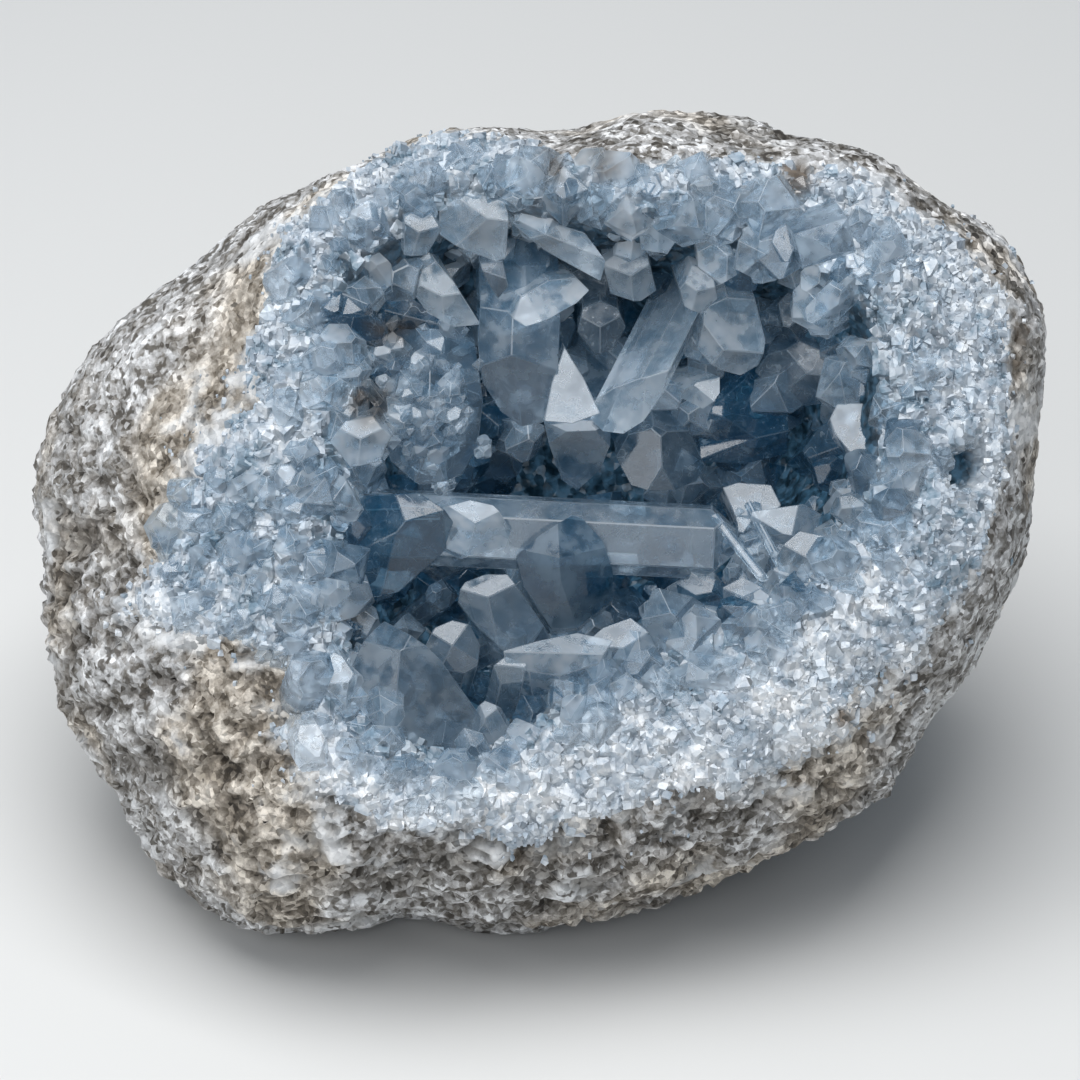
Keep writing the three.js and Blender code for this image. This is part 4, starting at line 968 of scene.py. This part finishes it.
def ramp(make, value, stops):
    node = make("ValToRGB", in_Fac=value)
    elements = node.color_ramp.elements
    while len(elements) < len(stops):
        elements.new(0.5)
    for element, (position, colour) in zip(elements, stops):
        element.position = position
        element.color = (*colour, 1)
    return node.outputs["Color"]


def greys(make, value, *stops):
    """A ramp of (position, level) stops."""
    return ramp(make, value, [(position, (level, level, level)) for position, level in stops])


def clouds(make, span_mm, where, detail, roughness=0.5, **values):
    """Noise with lumps of about this size."""
    return make("TexNoise", in_Vector=where, in_Scale=1 / (span_mm * MM), in_Detail=detail,
                in_Roughness=roughness, **values).outputs["Fac"]


def cells(make, span_mm, where):
    return make("TexVoronoi", in_Vector=where, in_Scale=1 / (span_mm * MM))


def mixed(make, share, first, second, kind="MIX"):
    node = make("Mix", data_type="RGBA", blend_type=kind)
    for socket, value in ((node.inputs[0], share), (node.inputs[6], first), (node.inputs[7], second)):
        if isinstance(value, bpy.types.NodeSocket):
            node.id_data.links.new(value, socket)
        elif socket.type == "RGBA":
            socket.default_value = (*value, 1)
        else:
            socket.default_value = value
    return node.outputs[2]


def marked(make, name, strength, colour, other):
    """A colour that turns into another where an attribute of the mesh says so."""
    return mixed(make, times(make, attribute(make, name), strength), colour, other)


def math_node(make, operation, first, second, clamp=False):
    return make("Math", operation=operation, in_0=first, in_1=second, use_clamp=clamp).outputs[0]


def times(make, first, second):
    return math_node(make, "MULTIPLY", first, second)


def larger(make, first, second):
    return math_node(make, "MAXIMUM", first, second)


def weighted_sum(make, first, *others):
    """The sum of (value, weight) pairs."""
    total = times(make, *first)
    for pair in others:
        total = math_node(make, "ADD", total, times(make, *pair))
    return total


def swung(make, value, cloud, amount):
    """A value moved up and down by noise."""
    return math_node(make, "ADD", value, times(make, math_node(make, "SUBTRACT", cloud, 0.5), amount))


def facet_bump(make, where, span_mm, tilt):
    """Makes a surface look made of flat grains of about this size, each tilted its own way. Gives
    its normal and a random colour for each grain."""
    grains = cells(make, span_mm, where)
    way = make("VectorMath", operation="SUBTRACT", in_0=grains.outputs["Color"], in_1=(0.5, 0.5, 0.5))
    offset = make("VectorMath", operation="SUBTRACT", in_0=where, in_1=grains.outputs["Position"])
    height = make("VectorMath", operation="DOT_PRODUCT", in_0=way.outputs[0], in_1=offset.outputs[0])
    bump = make("Bump", in_Strength=1.0, in_Distance=tilt, in_Height=height.outputs["Value"])
    return bump.outputs["Normal"], grains.outputs["Color"]


def surface(make, colour, normal, **values):
    """The material's one shader and its output."""
    shader = make("BsdfPrincipled", in_Base_Color=colour, in_Normal=normal, **values)
    make("OutputMaterial", in_Surface=shader.outputs[0])


def limestone_material():
    """Grey stone of sugary grains: pale ones, tan ones, dark specks, and darker and browner where its
    surface is sunk.
    """
    material, make = node_material("limestone")
    where = make("TexCoord").outputs["Object"]
    broad = clouds(make, 34, where, 2)
    medium = clouds(make, 7, where, 3, 0.65)
    fine = clouds(make, 1.8, where, 3, 0.75)
    normal, grains = facet_bump(make, where, 1.3, 0.95)
    each, tiny, _ = make("SeparateXYZ", in_0=grains).outputs
    value = weighted_sum(make, (each, 0.2), (tiny, 0.14), (medium, 0.8), (fine, 0.5))
    body = ramp(make, value, [
        (0.62, (0.06, 0.052, 0.043)), (0.70, (0.19, 0.178, 0.16)), (0.80, (0.35, 0.345, 0.34)),
        (0.89, (0.55, 0.55, 0.555)), (0.98, (0.86, 0.87, 0.88))])
    tan_share = greys(make, broad, (0.48, 0), (0.60, 1))
    colour = mixed(make, tan_share, body, mixed(make, 1.0, body, (1.0, 0.91, 0.79), "MULTIPLY"))
    patches = clouds(make, 15, where, 3, noise_dimensions="4D", in_W=3.0)
    colour = mixed(make, greys(make, patches, (0.57, 0), (0.64, 0.7)), colour, (0.80, 0.82, 0.84))
    holes = swung(make, clouds(make, 3, where, 2, 0.6), broad, 0.35)
    colour = mixed(make, greys(make, holes, (0.34, 0.9), (0.40, 0)), colour, (0.075, 0.065, 0.052))
    near = swung(make, attribute(make, "near_crust"), medium, 2.4)
    colour = mixed(make, greys(make, near, (0.35, 0), (0.85, 0.5)), colour,
                   mixed(make, each, (0.36, 0.41, 0.46), (0.74, 0.77, 0.80)))
    # Darker and browner where the surface is sunk, in its pits and crevices.
    colour = marked(make, "sunk", 0.8, colour, mixed(make, 1.0, colour, (0.34, 0.31, 0.27), "MULTIPLY"))
    colour = marked(make, "stain", 0.8, colour, (0.10, 0.075, 0.05))
    surface(make, colour, normal, in_Roughness=0.62)
    return material


def druse_colour(make, where):
    """The mottled white and pale blue of the grown-together small crystals."""
    broad = clouds(make, 16, where, 3)
    medium = clouds(make, 4, where, 3, 0.7)
    each = make("SeparateXYZ", in_0=cells(make, 1.5, where).outputs["Color"]).outputs[0]
    value = weighted_sum(make, (broad, 0.5), (medium, 0.6), (each, 0.1), (attribute(make, "hoar"), 0.14))
    colour = ramp(make, value, [
        (0.46, (0.08, 0.14, 0.20)), (0.55, (0.23, 0.31, 0.38)), (0.65, (0.40, 0.46, 0.53)),
        (0.76, (0.58, 0.63, 0.68)), (0.88, (0.84, 0.86, 0.88))])
    return marked(make, "stain", 0.85, colour, BROWN)


def crystal_material():
    """Celestite: pale blue and partly milky. The look attribute says how milky, blue and smoky; its
    milk and blue also carry painted shade deep in the hollow. Blunt edges get a painted highlight.
    """
    material, make = node_material("crystal")
    milk, deep, smoke = make("SeparateXYZ", in_0=attribute(make, "look", "Vector")).outputs
    own = attribute(make, "own", "Vector")
    colour = mixed(make, deep, (0.30, 0.43, 0.55), (0.008, 0.075, 0.155))
    colour = mixed(make, smoke, colour, (0.025, 0.06, 0.10))
    colour = marked(make, "hoar", 0.55, colour, (0.62, 0.65, 0.68))
    cloudy = greys(make, clouds(make, 5, own, 2, 0.7), (0.36, 0), (0.68, 1))
    crack = greys(make, clouds(make, 4, own, 1, 0.6), (0.47, 0), (0.495, 0.9), (0.51, 0))
    speck = greys(make, clouds(make, 1.3, own, 1), (0.62, 0), (0.70, 0.8))
    veil_and_edge_highlight = times(make, cloudy, math_node(make, "ADD", milk, 0.15, True))
    veil_and_edge_highlight = larger(make, veil_and_edge_highlight, times(make, larger(make, crack, speck), cloudy))
    # Painted highlight: the blunt faces along the crystals' edges turn white and rougher, less so on
    # deep blue crystals.
    painted_edge_highlight = math_node(make, "SUBTRACT", 0.8, times(make, deep, 0.55))
    veil_and_edge_highlight = larger(make, veil_and_edge_highlight, times(make, attribute(make, "blunt"), painted_edge_highlight))
    colour = mixed(make, veil_and_edge_highlight, colour, mixed(make, deep, (0.68, 0.745, 0.81), (0.20, 0.32, 0.43)))
    colour = marked(make, "stain", 0.7, colour, BROWN)
    dull = make("MapRange", in_0=veil_and_edge_highlight, in_3=CLEAR_ROUGHNESS, in_4=MILKY_ROUGHNESS).outputs[0]
    stretch = make("Mapping", in_Vector=own, in_Scale=(1.6, 1.6, 0.15)).outputs[0]
    bump = make("Bump", in_Strength=0.08, in_Distance=0.06 * MM, in_Height=clouds(make, 1.2, stretch, 2))
    surface(make, colour, bump.outputs["Normal"], in_Roughness=dull, in_IOR=CELESTITE_IOR,
            in_Transmission_Weight=CRYSTAL_TRANSMISSION)
    return material


def druse_material(name, whole):
    """Grown-together small crystals. The crust's body, whole, is painted with shade towards the hollow's
    depth and in the rim's small hole; the grains differ from one another instead."""
    material, make = node_material(name)
    where = make("TexCoord").outputs["Object"]
    colour = druse_colour(make, where)
    normal, _ = facet_bump(make, where, 1.6, 1.2)
    if whole:
        # Painted shade: the crust's body turns nearly black blue deep in the hollow and in the rim's
        # small hole.
        dark = ramp(make, clouds(make, 2.2, where, 4), [
            (0.38, (0.004, 0.018, 0.032)), (0.62, (0.04, 0.10, 0.16))])
        colour = mixed(make, attribute(make, "hollow"), colour, dark)
    else:
        _, deep, white = make("SeparateXYZ", in_0=attribute(make, "look", "Vector")).outputs
        colour = mixed(make, deep, colour, (0.27, 0.39, 0.50))
        colour = mixed(make, times(make, white, 0.8), colour, (0.86, 0.89, 0.92))
    surface(make, colour, normal, in_Roughness=0.3, in_IOR=CELESTITE_IOR)
    return material


# The stage

FLOOR_REACH = 3.0  # in metres, like the lights' places
LIT_POINT = Vector((0, 0, 0.09))


def floor():
    mesh = bpy.data.meshes.new("floor")
    r = FLOOR_REACH
    mesh.from_pydata([(-r, -r, 0), (r, -r, 0), (r, r, 0), (-r, r, 0)], [], [(0, 1, 2, 3)])
    material = bpy.data.materials.new("floor")
    material.use_nodes = True
    shader = material.node_tree.nodes["Principled BSDF"]
    shader.inputs["Base Color"].default_value = (0.72, 0.72, 0.71, 1)
    shader.inputs["Roughness"].default_value = 0.9
    mesh.materials.append(material)
    added("floor", mesh)


def softbox(name, at, size, power):
    """A soft square lamp that looks at the geode."""
    data = bpy.data.lights.new(name, "AREA")
    data.size, data.energy = size, power
    obj = added(name, data)
    obj.location = at
    obj.rotation_euler = (LIT_POINT - Vector(at)).to_track_quat("-Z", "Y").to_euler()


def lights():
    softbox("overhead", (-0.08, -0.12, 1.1), 0.85, 12)
    softbox("front", (-0.35, -1.1, 0.85), 0.9, 4)
    softbox("left", (-1.2, -0.35, 0.35), 0.7, 3.5)
    world = bpy.data.worlds.new("studio")
    bpy.context.scene.world = world
    world.use_nodes = True
    world.cycles.sampling_method = "NONE"
    background = world.node_tree.nodes["Background"]
    background.inputs["Color"].default_value = (0.74, 0.84, 0.95, 1)
    background.inputs["Strength"].default_value = 0.26


def camera():
    data = bpy.data.cameras.new("camera")
    data.sensor_width = 36
    data.lens = VIEW_DISTANCE / VIEW_WIDTH * data.sensor_width
    data.clip_start = 0.01
    obj = added("camera", data)
    obj.location = place(Vector((*VIEW_CENTRE, VIEW_DISTANCE)))
    obj.rotation_euler = (math.pi / 2 - LEAN, 0, 0)
    bpy.context.scene.camera = obj
    bpy.context.scene.view_settings.view_transform = "Standard"


def light_paths():
    """Few bounces, which keep the render quick and hardly change it."""
    cycles = bpy.context.scene.cycles
    cycles.max_bounces, cycles.transmission_bounces = 4, 4
    cycles.diffuse_bounces, cycles.glossy_bounces = 1, 2


camera()
light_paths()
stone = fine_stone()
limestone(stone, limestone_material())
base = crust_base(stone, druse_material("crust_base", True))
ground = Ground(stone)
crystal = crystal_material()
large_crystals(ground, crystal)
small_crystals(ground, crystal)
rim_grains(stone, base, druse_material("grains", False))
floor()
lights()
